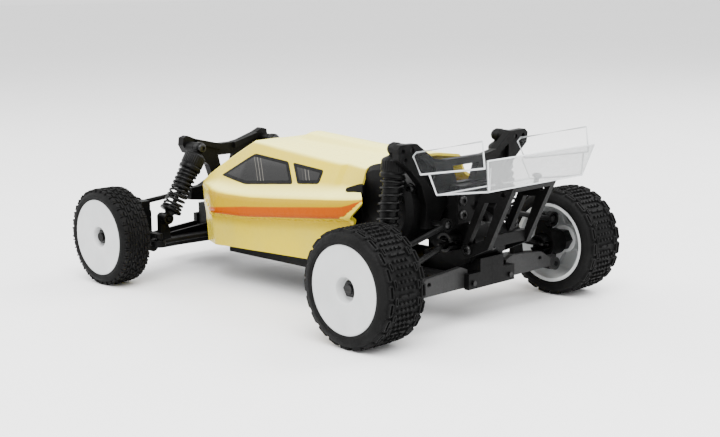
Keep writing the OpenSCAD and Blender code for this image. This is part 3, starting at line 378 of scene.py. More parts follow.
def tube(points, radius, sides=8):
    """A round tube along a list of 3D points."""
    verts, faces = [], []
    path = [Vector(p) for p in points]
    up = Vector((0.02, 0.03, 1)).normalized()
    for i, p in enumerate(path):
        ahead = (path[min(i + 1, len(path) - 1)] - path[max(i - 1, 0)]).normalized()
        if abs(ahead.dot(up)) > 0.95:
            up = Vector((1, 0.02, 0.03)).normalized()
        side = ahead.cross(up).normalized()
        top = side.cross(ahead).normalized()
        for k in range(sides):
            a = 2 * math.pi * k / sides
            verts.append(tuple(p + (side * math.cos(a) + top * math.sin(a)) * radius))
    for i in range(len(path) - 1):
        for k in range(sides):
            m = (k + 1) % sides
            faces.append((i * sides + k, i * sides + m, (i + 1) * sides + m, (i + 1) * sides + k))
    faces.append(tuple(range(sides - 1, -1, -1)))
    faces.append(tuple(range((len(path) - 1) * sides, len(path) * sides)))
    return verts, faces


def joined(*parts):
    verts, faces = [], []
    for v, f in parts:
        base = len(verts)
        verts += v
        faces += [tuple(base + i for i in face) for face in f]
    return verts, faces


def boolean(piece, cutter_verts, cutter_faces, name):
    mesh = bpy.data.meshes.new(name)
    mesh.from_pydata([tuple(c * MM for c in v) for v in cutter_verts], [], cutter_faces)
    bm = bmesh.new()
    bm.from_mesh(mesh)
    bmesh.ops.recalc_face_normals(bm, faces=bm.faces)
    bm.to_mesh(mesh)
    bm.free()
    cutter = bpy.data.objects.new(name, mesh)
    bpy.context.scene.collection.objects.link(cutter)
    mod = piece.modifiers.new(name, "BOOLEAN")
    mod.operation = "DIFFERENCE"
    mod.solver = "EXACT"
    mod.object = cutter
    bake_modifiers(piece)
    bpy.data.objects.remove(cutter)


def bake_modifiers(piece):
    bpy.context.view_layer.update()
    graph = bpy.context.evaluated_depsgraph_get()
    done = bpy.data.meshes.new_from_object(piece.evaluated_get(graph))
    piece.modifiers.clear()
    piece.data = done


def block(low, high):
    verts = [(x, y, z) for z in (low[2], high[2]) for y in (low[1], high[1]) for x in (low[0], high[0])]
    faces = [(0, 2, 3, 1), (4, 5, 7, 6), (0, 1, 5, 4), (2, 6, 7, 3), (0, 4, 6, 2), (1, 3, 7, 5)]
    return verts, faces


def prism_y(outline, half):
    """Solid with a given (x, z) outline, from -half to half along Y."""
    count = len(outline)
    verts = [(x, -half, z) for x, z in outline] + [(x, half, z) for x, z in outline]
    faces = [(i, (i + 1) % count, count + (i + 1) % count, count + i) for i in range(count)]
    faces += [tuple(range(count)), tuple(range(2 * count - 1, count - 1, -1))]
    return verts, faces


# ---------------------------------------------------------------- wheels


def lug(outline, r0, r1, hole=None):
    """Tread block on a cylinder about Z: outline points are (arc length, height along the axle)."""
    # outline's share left at the waist and at the top, depth's share above the waist, hole's share at its floor
    waist, crown, above, floor = 0.91, 0.85, 0.14, 0.9
    verts, faces = [], []
    cx = sum(p[0] for p in outline) / len(outline)
    cy = sum(p[1] for p in outline) / len(outline)

    def ring(points, radius, scale):
        base = len(verts)
        for arc, v in points:
            angle = (cx + (arc - cx) * scale) / r1
            verts.append((radius * math.cos(angle), radius * math.sin(angle), cy + (v - cy) * scale))
        return list(range(base, base + len(points)))

    def wall(a, b):
        for i in range(len(a)):
            k = (i + 1) % len(a)
            faces.append((a[i], a[k], b[k], b[i]))

    edge = r1 - above * (r1 - r0)
    foot, neck = ring(outline, r0, 1.0), ring(outline, edge, waist)
    top = ring(outline, r1, crown)
    wall(foot, neck)
    wall(neck, top)
    if hole:
        in_top, in_foot = ring(hole, r1, 1.0), ring(hole, r0, floor)
        wall(top, in_top)
        wall(in_top, in_foot)
    else:
        faces.append(tuple(top))
    return verts, faces


def rectangle(arc, v, length, width, slant=0.0):
    a, b = length / 2, width / 2
    return [(arc - a - slant, v - b), (arc + a - slant, v - b),
            (arc + a + slant, v + b), (arc - a + slant, v + b)]


def octagon(arc, v, length, width, cut):
    a, b = length / 2, width / 2
    return [(arc - a + cut, v - b), (arc + a - cut, v - b), (arc + a, v - b + cut), (arc + a, v + b - cut),
            (arc + a - cut, v + b), (arc - a + cut, v + b), (arc - a, v + b - cut), (arc - a, v - b + cut)]


def casing(bead_r, crown_r, half):
    """Rubber carcass under the tread: beads, bulged sidewalls with a fine ring, rounded shoulders."""
    bead = [(bead_r - 0.35, half - 1.6), (bead_r - 0.05, half - 0.25), (bead_r + 0.35, half - 0.05)]
    ring = [(bead_r + 0.6, half - 0.12), (bead_r + 0.85, half), (bead_r + 1.5, half - 0.08)]
    shoulder = [(crown_r - 0.9, half - 0.5), (crown_r - 0.35, half - 1.05), (crown_r, half - 1.9)]
    outer = rounded(bead + ring + shoulder, 0.5, steps=3)
    return outer + [(r, -h) for r, h in reversed(outer)]


def rear_tread(r0, r1, half):
    """Rows of small pins with bars between them, and chain links along both shoulders."""
    parts = []
    around = 2 * math.pi * r1
    outer_in, inner_in, pins_in = 2.25, 4.0, 5.3  # how far in from the tyre's edge each row lies
    links, gap, wide, inner_wide = 22, 0.45, 1.9, 1.35
    long = around / links - gap
    inner_long = long * 0.66
    for i in range(links):
        for side in (-1, 1):
            arc = around * (i + (0.25 if side > 0 else 0)) / links
            v = side * (half - outer_in)
            parts.append(lug(octagon(arc, v, long, wide, 0.5), r0 - 0.25, r1 - 0.12,
                             hole=octagon(arc, v, long - 1.3, wide - 1.1, 0.2)))
            inner = arc + around / links / 2
            v = side * (half - inner_in)
            parts.append(lug(octagon(inner, v, inner_long, inner_wide, 0.35), r0, r1,
                             hole=octagon(inner, v, inner_long - 1.2, 0.5, 0.1)))
    rows, bar_every, bar, pin, pin_cut, even_spread = 54, 6, 0.75, 0.95, 0.24, 0.78
    span = half - pins_in
    for i in range(rows):
        arc = around * i / rows
        if i % bar_every == bar_every // 2:
            for side in (-1, 1):
                parts.append(lug(rectangle(arc, side * span / 2, bar, span - 0.5), r0, r1))
            continue
        count = 5 if i % 2 else 4
        for k in range(count):
            v = span * (2 * k / (count - 1) - 1) * (1.0 if i % 2 else even_spread)
            parts.append(lug(octagon(arc, v, pin, pin, pin_cut), r0, r1))
    return parts


def front_tread(r0, r1, half):
    """Ribs with staggered dashes between them and square blocks on the shoulders."""
    parts = []
    around = 2 * math.pi * r1
    count = 36
    dash_rows, rib_rows = (-2.9, -0.98, 0.98, 2.9), (-1.95, 1.95)
    for i in range(count):
        for k, v in enumerate(dash_rows):
            arc = around * (i + 0.5 * (k % 2)) / count
            parts.append(lug(rectangle(arc, v, 1.75, 0.85, 0.12), r0, r1))
        for side in (-1, 1):
            arc = around * (i + (0.5 if side > 0 else 0)) / count
            parts.append(lug(octagon(arc, side * (half - 1.55), 2.0, 1.25, 0.25), r0 - 0.3, r1 - 0.2))
            between = arc + around / count / 2
            parts.append(lug(rectangle(between, side * (half - 1.35), 0.5, 1.5), r0 - 0.3, r1 - 0.25))
        arc = around * i / count
        parts.append(lug(rectangle(arc, 0, 1.1, 0.42), r0, r1))
    for v in rib_rows:
        rib = [(r0 - 0.1, v - 0.28), (r1 - 0.2, v - 0.2), (r1 - 0.2, v + 0.2), (r0 - 0.1, v + 0.28)]
        parts.append(revolve(rib, 120))
    return parts


def rim_profile(bead_r, half, face, hub_low, hub_r, recess_r, bore):
    """Dish wheel: wide barrel, thin flat face, hub behind it and a tapered recess in the middle."""
    barrel = bead_r - 1.25
    inside = [(bore, hub_low), (hub_r, hub_low), (hub_r, face - 1.7), (barrel - 0.6, face - 1.4),
              (barrel, face - 2.0), (barrel, -half)]
    outside = [(bead_r + 0.25, -half), (bead_r + 0.25, -half + 0.55), (bead_r - 0.45, -half + 1.1),
               (bead_r - 0.45, half - 1.2), (bead_r + 0.1, half - 0.7), (bead_r + 0.1, half - 0.15)]
    dish = [(bead_r - 0.5, half + 0.02), (bead_r - 1.7, half - 0.25), (recess_r + 0.9, face + 0.12),
            (recess_r, face - 0.1), (recess_r - 0.5, face - 2.6), (bore, face - 2.7)]
    return rounded(inside + outside + dish, 0.35, steps=2, closed=True)


def hex_nut(r, low, top, hole):
    """Chamfered hexagon nut about the axle with a shallow round hole in its face."""
    def ring(radius, z, sides):
        return [(radius * math.cos(math.tau * k / sides), radius * math.sin(math.tau * k / sides), z)
                for k in range(sides)]

    def skin(rings):
        verts, faces, count = [], [], len(rings[0])
        for points in rings:
            verts += points
        for i in range(len(rings) - 1):
            a, b = i * count, (i + 1) * count
            faces += [(a + k, a + (k + 1) % count, b + (k + 1) % count, b + k) for k in range(count)]
        faces += [tuple(range(count)), tuple(range(len(verts) - count, len(verts)))]
        return verts, faces

    body = skin([ring(r, low, 6), ring(r, top - 0.3, 6), ring(r * 0.9, top, 6)])
    tip = skin([ring(hole, top - 0.1, 24), ring(hole, top + 0.2, 24), ring(hole - 0.2, top + 0.35, 24)])
    return joined(body, tip)


# Per wheel: tread depth, the rim's inset from the tyre's edge, nut radius, and the hub's inner end, radius,
# recess and bore
WHEELS = {
    "rear": (0.85, 0.4, 2.6, {"hub_low": 0.4, "hub_r": 4.6, "recess_r": 3.7, "bore": 1.5}),
    "front": (0.65, 0.3, 2.55, {"hub_low": -5.2, "hub_r": 4.4, "recess_r": 3.5, "bore": 1.55}),
}
FACE_IN = 0.9
RIBS, RIB_HALF, RIB_IN_R = 6, 0.4, 4.2
FRONT_TIP_IN = 1.55


def wheel(end, side):
    deep, rim_in, nut_r, hub = WHEELS[end]
    sign = SIDES[side]
    tyre, rim = f"{end}_tyre_{side}", f"{end}_rim_{side}"
    centre = middle(tyre)
    extent = size(tyre) / MM
    outer_r, half = extent.z / 2, extent.y / 2
    bead_r = size(rim).z / MM / 2
    place = axle_frame(sign, centre)
    body = f"{end}_wheel_{side}"
    r0 = outer_r - deep
    tread = rear_tread(r0, outer_r, half) if end == "rear" else front_tread(r0, outer_r, half)
    carcass = revolve(casing(bead_r, r0 + 0.08, half), 120)
    make(f"{end}_tread_tyre_{side}", *joined(carcass, *tread), RUBBER, body, "tyre_rubber", [tyre],
         smooth_deg=28, at=place)
    profile = rim_profile(bead_r, half - rim_in, half - FACE_IN, **hub)
    ribs = []
    for k in range(RIBS):
        turn = Matrix.Rotation(math.radians(360 // RIBS * k), 3, "Z")
        v, f = block((RIB_IN_R, -RIB_HALF, half - 4.6), (bead_r - 1.4, RIB_HALF, half - 2.2))
        ribs.append(([tuple(turn @ Vector(p)) for p in v], f))
    make(f"{end}_dish_rim_{side}", *joined(revolve(profile, 128), *ribs), WHITE, body, "white_nylon", [rim],
         at=place)
    # the rear axle and its nut turn with their wheel, the front stub axle and its nut stand still
    if end == "rear":
        carrier = body
        tip = sign * (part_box(f"rear_axle_{side}")[1 if sign > 0 else 0].y - centre.y) / MM
    else:
        carrier = f"knuckle_{side}"
        tip = half - FRONT_TIP_IN
    nut = hex_nut(nut_r, tip - 2.35, tip - 0.5, 1.25)
    make(f"{end}_wheel_nut_{side}", *nut, BLACK_STEEL, carrier, "dark_steel", smooth_deg=20, at=place)


# ---------------------------------------------------------------- springs and shocks


def shock_axes(end, side):
    """Matrix from a shock's own frame, Z from the top eye to the bottom eye; the top eye; that direction."""
    swing = joint(f"{end}_shock_{side}_swing")
    slide = joint(f"{end}_shock_{side}_travel")
    top = Vector(swing["pos_m"])
    down = -Vector(slide["axis"]).normalized()
    across = Vector((1, 0, 0))
    matrix = Matrix((across, down.cross(across), down)).transposed().to_4x4()
    matrix.translation = top
    return matrix, top, down


def spring(end, side, turns):
    matrix, top, down = shock_axes(end, side)
    inverse = matrix.inverted()
    points = [inverse @ v.co for v in nodes[f"{end}_spring_{side}"].data.vertices]
    z0 = min(p.z for p in points) / MM
    z1 = max(p.z for p in points) / MM
    wire, radius, cuts = 0.4, 3.22, 28
    closed = 1.9 * wire
    open_pitch = (z1 - z0 - 2 * wire - 2 * closed) / (turns - 2)
    path = []
    steps = turns * cuts
    for i in range(steps + 1):
        wound = turns * i / steps
        # the first and last turn are closed up, the others evenly spread
        rise = closed * min(wound, 1)
        rise += open_pitch * min(max(wound - 1, 0), turns - 2)
        rise += closed * max(wound - turns + 1, 0)
        a = 2 * math.pi * wound
        path.append((radius * math.cos(a), radius * math.sin(a), z0 + wire + rise))
    verts, faces = tube(path, wire, sides=12)
    piece = make(f"{end}_coil_{side}", verts, faces, SPRING, None, "spring_steel", [f"{end}_spring_{side}"],
                 smooth_deg=60, at=matrix)
    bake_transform(piece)


def shock_cap(end, side, cap_end, tube_end):
    """Fluted screw cap, clamp ring and smooth pressure cylinder with its eye."""
    matrix, _, _ = shock_axes(end, side)
    cap = [(1.3, 1.6), (2.7, 2.4), (3.5, 2.9), (3.9, 3.5), (3.9, cap_end - 2.0)]
    clamp = [(3.65, cap_end - 1.8), (3.65, cap_end - 1.5), (3.95, cap_end - 1.3), (3.95, cap_end - 0.2),
             (3.6, cap_end), (2.8, cap_end)]
    cylinder = [(2.8, tube_end - 0.6), (2.5, tube_end), (0.9, tube_end), (0.9, 2.9)]
    profile = rounded(cap + clamp + cylinder, 0.3, steps=2, closed=True)
    low, high = 3.4, cap_end - 1.9

    def flutes(angle, i):
        h = profile[i][1]
        return 0.11 * abs(math.cos(14 * angle)) - 0.11 if low < h < high and profile[i][0] > 3.4 else 0.0

    body = revolve(profile, 168, flutes)
    eye = [(0.87, -1.3), (1.75, -1.3), (2.1, -0.95), (2.1, 0.95), (1.75, 1.3), (0.87, 1.3)]
    ev, ef = revolve(eye, 48)
    ev = [(z, y, x) for x, y, z in ev]
    neck = block((-1.2, -1.35, 1.6), (1.2, 1.35, 3.0))
    rides_on = f"{end}_shock_body_{side}"
    make(f"{end}_shock_cylinder_{side}", *joined(body, (ev, ef), neck), SHOCK, rides_on, "shock_plastic",
         [rides_on], at=matrix)


# ---------------------------------------------------------------- body shell

# Key points of the half section at each station: x, then (y, z) of the foot, the side under the pod, the pod's
# low and high edge, the cabin's foot, the roof crease, the roof, the spine's foot and its edge, and the height
# of its middle
STATIONS = [
    (49.2, (19.8, 13.0), (20.6, 24.0), (21.2, 27.0), (21.6, 33.0), (21.2, 34.0),
     (20.8, 34.8), (10.0, 35.8), (7.0, 35.9), (3.0, 36.0), 36.1),
    (47.0, (20.6, 13.0), (21.6, 24.0), (22.6, 26.4), (22.8, 33.4), (21.8, 34.4),
     (20.1, 37.0), (10.0, 38.1), (7.0, 38.2), (3.0, 38.3), 38.4),
    (43.0, (22.6, 13.2), (23.8, 24.0), (24.8, 25.8), (24.9, 33.6), (22.8, 35.0),
     (19.2, 39.8), (9.8, 40.8), (7.0, 40.9), (3.0, 41.0), 41.1),
    (39.5, (24.4, 13.4), (25.6, 23.8), (26.6, 25.4), (26.8, 33.6), (23.6, 35.2),
     (18.3, 42.2), (9.6, 43.2), (7.0, 43.3), (3.0, 43.4), 43.5),
    (37.5, (24.7, 13.5), (25.9, 23.9), (28.0, 25.5), (27.8, 33.6), (23.9, 35.2),
     (18.0, 43.4), (9.5, 44.3), (7.0, 44.4), (3.0, 44.5), 44.6),
    (32.0, (24.8, 13.8), (26.2, 24.6), (30.2, 26.0), (29.4, 33.4), (24.5, 35.2),
     (17.5, 46.5), (9.3, 47.2), (7.0, 47.3), (3.0, 47.4), 47.5),
    (26.0, (24.8, 14.0), (26.3, 25.0), (30.9, 26.3), (29.9, 33.3), (24.8, 35.4),
     (17.0, 49.8), (9.0, 49.9), (7.0, 49.9), (3.0, 49.8), 49.8),
    (18.5, (24.8, 14.2), (26.4, 25.3), (31.0, 26.6), (30.1, 33.4), (24.8, 35.8),
     (17.3, 49.3), (9.1, 50.0), (7.0, 50.0), (3.0, 50.4), 50.6),
    (13.5, (24.8, 14.4), (26.4, 25.6), (31.1, 27.0), (30.2, 33.5), (24.9, 36.2),
     (17.6, 48.8), (9.2, 49.9), (6.6, 50.0), (3.2, 52.3), 52.6),
    (0.0, (24.8, 14.8), (26.4, 26.9), (31.1, 28.4), (30.2, 34.5), (24.9, 37.3),
     (18.2, 47.8), (9.6, 49.2), (6.6, 49.3), (3.2, 51.4), 51.7),
    (-16.0, (24.6, 15.2), (26.4, 28.5), (31.0, 30.0), (30.2, 35.9), (24.7, 38.6),
     (19.8, 46.8), (10.0, 48.5), (6.6, 48.6), (3.2, 50.3), 50.6),
    (-20.5, (24.6, 15.3), (26.3, 28.9), (30.9, 30.4), (30.1, 36.3), (24.6, 38.9),
     (20.3, 46.6), (10.0, 48.3), (6.6, 48.4), (3.2, 50.0), 50.3),
    (-22.0, (24.5, 15.4), (26.3, 29.1), (30.8, 30.6), (30.0, 36.4), (23.7, 39.0),
     (19.2, 46.7), (10.0, 48.2), (6.6, 48.3), (3.2, 49.9), 50.2),
    (-31.0, (24.4, 15.7), (26.2, 30.0), (30.4, 31.5), (29.8, 37.2), (24.1, 39.9),
     (21.6, 46.3), (10.0, 47.9), (6.6, 48.0), (3.2, 49.2), 49.5),
    (-39.6, (24.2, 16.0), (26.0, 31.4), (29.4, 33.0), (29.2, 38.2), (24.3, 40.1),
     (21.8, 46.6), (10.0, 47.8), (6.6, 47.5), (3.2, 48.6), 48.9),
]
# Rounding radius at each key point, and the cuts of each flat between them
CORNERS = [0, 1.0, 1.4, 1.8, 2.4, 1.1, 2.0, 1.0, 1.0, 0]
CUTS = [10, 4, 8, 6, 10, 6, 3, 4, 3]
# Cuts in the shell: the tail's outline in (x, z), the pod end's in (x, y), and boxes by their corners
TAIL_EDGE = [(-29.5, 5.0), (-29.9, 22.0), (-30.3, 28.4), (-32.6, 31.4), (-38.8, 37.6), (-60.0, 37.6),
             (-60.0, 5.0)]
POD_END = [(-32.5, 20.0), (-32.5, 24.4), (-40.4, 31.2), (-60.0, 31.2), (-60.0, 20.0)]
POD_CUT_Z, POD_CUT_HALF = 48, 12
BACK_CUT = (-60, -23.4, 5), (-23.5, 23.4, 40)
ROOF_CUT = (-60, -24.4, 38), (-32.4, 24.4, 60)
NOSE_CUT = (40, -17.5, 5), (60, 17.5, 31.5)
SHELL_T = 0.8
STATION_STEP = 1.1


def station_at(x):
    """Section key points at any x, by straight lines between the stations."""
    for a, b in zip(STATIONS, STATIONS[1:]):
        if a[0] >= x >= b[0]:
            t = (a[0] - x) / (a[0] - b[0])
            points = [((1 - t) * p[0] + t * q[0], (1 - t) * p[1] + t * q[1])
                      for p, q in zip(a[1:-1], b[1:-1])]
            return points + [(0.0, (1 - t) * a[-1] + t * b[-1])]
    return station_at(min(max(x, STATIONS[-1][0]), STATIONS[0][0]))


def section(x):
    """Half section from the foot to the roof's middle: rounded corners and evenly cut flats."""
    keys = station_at(x)
    arcs = rounded(keys, CORNERS, steps=4)
    line = [arcs[0]]
    place = 1
    for i, cuts in enumerate(CUTS):
        end = arcs[place]
        start = line[-1]
        line += [(start[0] + (end[0] - start[0]) * k / cuts, start[1] + (end[1] - start[1]) * k / cuts)
                 for k in range(1, cuts + 1)]
        if i < len(CUTS) - 1:
            line += arcs[place + 1:place + 5]
            place += 5
    return line


def shell_mesh():
    xs = []
    for a, b in zip(STATIONS, STATIONS[1:]):
        cuts = max(1, round((a[0] - b[0]) / STATION_STEP))
        xs += [a[0] + (b[0] - a[0]) * k / cuts for k in range(cuts)]
    xs.append(STATIONS[-1][0])
    rows = []
    for x in xs:
        half = section(x)
        rows.append([(x, y, z) for y, z in half] + [(x, -y, z) for y, z in reversed(half[:-1])])
    width = len(rows[0])
    verts = [p for row in rows for p in row]
    faces = []
    for i in range(len(rows) - 1):
        for j in range(width - 1):
            a, b = i * width + j, (i + 1) * width + j
            faces.append((a, a + 1, b + 1, b))
    # nose panel: horizontal strips, slightly bowed forward
    across, bow, bow_low, bow_rise = 12, 1.7, 10, 20
    half = section(xs[0])
    strip = []
    for y, z in half:
        share = min(1, (z - bow_low) / bow_rise)
        strip.append([(xs[0] + bow * (1 - (1 - 2 * k / across) ** 2) * share, y * (1 - 2 * k / across), z)
                      for k in range(across + 1)])
    base = len(verts)
    verts += [p for line in strip for p in line]
    for j in range(len(strip) - 1):
        for k in range(across):
            a = base + j * (across + 1) + k
            b = a + across + 1
            faces.append((a, b, b + 1, a + 1))
    return verts, faces


def band_level(x, y, z):
    """Place of a point in the painted bands: 0 to 1 over the pod, and below 0, in centimetres, under it.

    No band reaches the cabin or the nose, and the bands taper off towards the tail.
    """
    cabin_y, nose_x, fade_end_x, taper_x, taper_length = 20.5, 48, -30, -29.0, 9.5
    keys = station_at(x)
    low, high = keys[2][1], keys[3][1]
    if abs(y) < cabin_y or x > nose_x:
        return 2.0
    if z < low:
        return (z - low) / 10 if x > fade_end_x else -1.0
    t = (z - low) / (high - low)
    tail = max(0.0, (taper_x - x) / taper_length) ** 1.3
    t = (t - tail) / max(0.05, 1 - tail)
    if t < 0:
        return -1.0
    # the bands meet half-way up at this x, lower before it and a little higher behind it
    even_x = 16
    divide = 0.5 - 0.0145 * (x - even_x) if x > even_x else 0.5 + 0.003 * (even_x - x)
    divide = max(0.15, divide)
    return 0.5 * t / divide if t < divide else 0.5 + 0.5 * (t - divide) / (1 - divide)


def mark_bands(mesh):
    layer = mesh.attributes.new("band", "FLOAT", "POINT")
    layer.data.foreach_set("value", [band_level(*(c / MM for c in v.co)) for v in mesh.vertices])


def body_shell():
    verts, faces = shell_mesh()
    piece = make("painted_shell", verts, faces, PAINT, None, "painted_shell", smooth_deg=30)
    wall = piece.modifiers.new("wall", "SOLIDIFY")
    wall.thickness = SHELL_T * MM
    wall.offset = -1
    wall.use_even_offset = True
    bake_modifiers(piece)
    outside = BVHTree.FromObject(piece, bpy.context.evaluated_depsgraph_get())
    boolean(piece, *block(*BACK_CUT), "back_cut")
    boolean(piece, *prism_y(TAIL_EDGE, 40), "tail_cut")
    boolean(piece, *block(*ROOF_CUT), "roof_cut")
    for sign in SIDES.values():
        verts, faces = prism_y(POD_END, POD_CUT_HALF)
        boolean(piece, [(x, sign * y, POD_CUT_Z + z) for x, z, y in verts], faces, f"pod_cut_{sign}")
    boolean(piece, *block(*NOSE_CUT), "nose_cut")
    mark_bands(piece.data)
    shade(piece.data, 30)
    soften = piece.modifiers.new("edge", "BEVEL")
    soften.width = 0.14 * MM
    soften.segments = 2
    soften.limit_method = "ANGLE"
    soften.angle_limit = math.radians(50)
    finish_piece(piece, "body_shell", ["body_shell"])
    return outside


def on_surface(tree, x, z, side, lift):
    """Point on the shell's outside seen from the side, raised by lift millimetres."""
    hit, normal, _, _ = tree.ray_cast(Vector((x, side * 80, z)) * MM, Vector((0, -side, 0)))
    if normal.y * side < 0:
        normal = -normal
    p = hit / MM + normal * lift
    return tuple(p)


def patch(outline, tree, side, lift, thick, cell=0.9):
    """Thin sheet with a given outline in (x, z) laid on the side of the shell."""
    bm = bmesh.new()
    ring = [bm.verts.new((x, 0, z)) for x, z in outline]
    bm.faces.new(ring)
    bmesh.ops.triangulate(bm, faces=bm.faces)
    for _ in range(5):
        long_edges = [e for e in bm.edges if e.calc_length() > cell]
        if not long_edges:
            break
        bmesh.ops.subdivide_edges(bm, edges=long_edges, cuts=1, use_grid_fill=False)
        bmesh.ops.triangulate(bm, faces=bm.faces, quad_method="BEAUTY")
    bm.verts.ensure_lookup_table()
    bm.verts.index_update()
    top = [on_surface(tree, v.co.x, v.co.z, side, lift) for v in bm.verts]
    low = [on_surface(tree, v.co.x, v.co.z, side, lift - thick) for v in bm.verts]
    faces = [tuple(v.index for v in f.verts) for f in bm.faces]
    count = len(top)
    under = [tuple(count + i for i in reversed(f)) for f in faces]
    rim = [(e.verts[0].index, e.verts[1].index, count + e.verts[1].index, count + e.verts[0].index)
           for e in bm.edges if e.is_boundary]
    bm.free()
    return top + low, faces + under + rim


def inset(outline, gap):
    """Outline moved in by gap, for a convex outline."""
    out = []
    area = sum(a[0] * b[1] - b[0] * a[1] for a, b in zip(outline, outline[1:] + outline[:1]))
    sign = 1 if area > 0 else -1
    for i, p in enumerate(outline):
        here = Vector(p)
        before = (here - Vector(outline[i - 1])).normalized()
        after = (Vector(outline[(i + 1) % len(outline)]) - here).normalized()
        n1 = Vector((-before.y, before.x)) * sign
        n2 = Vector((-after.y, after.x)) * sign
        bis = (n1 + n2).normalized()
        out.append(tuple(here + bis * gap / max(0.3, bis.dot(n1))))
    return out


FRONT_WINDOW = [(37.5, 37.6), (22.9, 45.9), (5.3, 44.8), (-1.2, 38.5), (22.1, 36.2)]
REAR_WINDOW = [(2.9, 44.7), (-13.1, 43.8), (-13.3, 39.7), (-3.4, 38.8)]


def dark_gap_wedge():
    """Dark pointed wedge that fills the gap between cabin and pod in front of the gear cover."""
    outline = [(-27.2, 39.2), (-27.6, 40.2), (-33.4, 42.0), (-34.6, 41.6), (-34.8, 38.6), (-30.0, 38.4)]
    verts, faces = prism_y(rounded(outline, 0.3, steps=2, closed=True), 0.5)
    place = [(x, y + 25.2, z) for x, y, z in verts]
    make("dark_gap_wedge", place, faces, NYLON, "body_shell", "painted_shell", smooth_deg=30)


VANES = [(44.5, 28.2), (42.3, 27.2), (40.4, 26.1), (38.0, 25.1)]


def vanes(tree):
    """Four short slanted vanes on each cheek of the nose."""
    for side, sign in SIDES.items():
        parts = []
        for x, z in VANES:
            outline = [(x - 1.4, z - 0.3), (x + 1.0, z - 0.8), (x + 1.5, z + 0.2), (x - 0.9, z + 0.7)]
            parts.append(patch(rounded(outline, 0.25, steps=2, closed=True), tree, sign, 0.35, 0.5, cell=0.6))
        make(f"nose_vanes_{side}", *joined(*parts), VANE_PAINT, "body_shell", "painted_shell", smooth_deg=25)


def windows(tree):
    for side, sign in SIDES.items():
        for name, outline in (("front_window", FRONT_WINDOW), ("rear_window", REAR_WINDOW)):
            edge = rounded(outline, 0.9, steps=3, closed=True)
            make(f"{name}_outline_{side}", *patch(edge, tree, sign, 0.10, 0.2), OUTLINE, "body_shell",
                 "painted_shell")
            pane = rounded(inset(outline, 1.0), 0.5, steps=3, closed=True)
            make(f"{name}_pane_{side}", *patch(pane, tree, sign, 0.16, 0.2), GLASS, "body_shell",
                 "painted_shell")


# ---------------------------------------------------------------- rear wing


def wing():
    """Clear tray with stepped sides and a frosted rear blade; its edges carry painted highlights, bright strips
    where they catch the light.
    """
    top_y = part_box("rear_wing")[1].y / MM
    low_y = top_y - 2.6
    thick = 0.6
    front, rear = (-61.3, 41.0), (-81.0, 44.0)
    step_front, step_rear = (-58.2, 47.0), (-81.5, 50.8)
    side = [(-57.2, 46.9), (-54.3, 52.0), (-55.5, 53.2), (-80.6, 58.4), (-81.5, 50.9)]
    tip = (-83.2, 53.2)
    parts, blades, edges = [], [], []

    def sheet(outline, normal, where):
        """Flat sheet from 3D corner points, thickened along normal."""
        n = Vector(normal).normalized() * thick
        count = len(outline)
        verts = [tuple(p) for p in outline] + [tuple(Vector(p) + n) for p in outline]
        faces = [tuple(range(count)), tuple(range(2 * count - 1, count - 1, -1))]
        faces += [(i, (i + 1) % count, count + (i + 1) % count, count + i) for i in range(count)]
        where.append((verts, faces))

    # thin tube along an edge, drawn bright as a painted highlight
    def bright(points, radius=0.28):
        edges.append(tube(points, radius, sides=8))

    def at(point, y):
        return (point[0], y, point[1])

    sheet([at(front, -low_y), at(front, low_y), at(rear, low_y), at(rear, -low_y)], (0.17, 0, 1), parts)
    bright([at(front, -low_y + 0.2), at(front, low_y - 0.2)], 0.2)
    for s in (-1, 1):
        low, lip = s * (low_y - 0.2), s * (top_y - 0.3)
        sheet([at(p, s * low_y) for p in (front, rear, step_rear, step_front)], (0, -s, 0), parts)
        sheet([at(step_front, s * low_y), at(step_rear, s * low_y), at(step_rear, s * top_y),
               at(side[0], s * top_y)], (0.17, 0, 1), parts)
        sheet([at(p, s * top_y) for p in side], (0, -s, 0), parts)
        bright([at(p, lip) for p in side[:1] + side])
        bright([at(side[-1], lip), at(side[0], lip)])
        bright([at(step_front, low), at(front, low), at(rear, low)])
        bright([at(rear, low), at(step_rear, low)])
        bright([at(rear, s * low_y), at(tip, s * (top_y + 0.4))], 0.2)
    sheet([at(rear, -low_y), at(rear, low_y), at(tip, top_y + 0.4), at(tip, -top_y - 0.4)], (1, 0, 0.2),
          blades)
    bright([at(rear, -low_y), at(rear, low_y)], 0.22)
    bright([at(tip, -top_y - 0.4), at(tip, top_y + 0.4)], 0.22)
    make("clear_wing", *joined(*parts), CLEAR, "chassis", "clear_plastic", ["rear_wing"], smooth_deg=20)
    make("wing_blade", *joined(*blades), FROSTED, "chassis", "clear_plastic", smooth_deg=20)
    make("wing_edge_highlights", *joined(*edges), EDGE_HIGHLIGHT, "chassis", "clear_plastic", smooth_deg=50)


# ---------------------------------------------------------------- the carried-over CAD nodes

KEPT = {
    "black_nylon": (NYLON, 0.12), "shock_plastic": (SHOCK, 0.08), "bright_steel": (STEEL, 0.05),
    "dark_steel": (BLACK_STEEL, 0.05), "brass": (BRASS, 0.0), "gear_acetal": (ACETAL, 0.0),
    "battery_wrap": (WRAP, 0.3), "electronics_case": (CASE, 0.2),
}
# the rear arms get the lighter nylon as painted light; they are the same black nylon as the rest
LIT_ARMS = ("rear_arm_left", "rear_arm_right")
DARKENED = ("pins_and_screws", "rear_axle_left", "rear_axle_right")


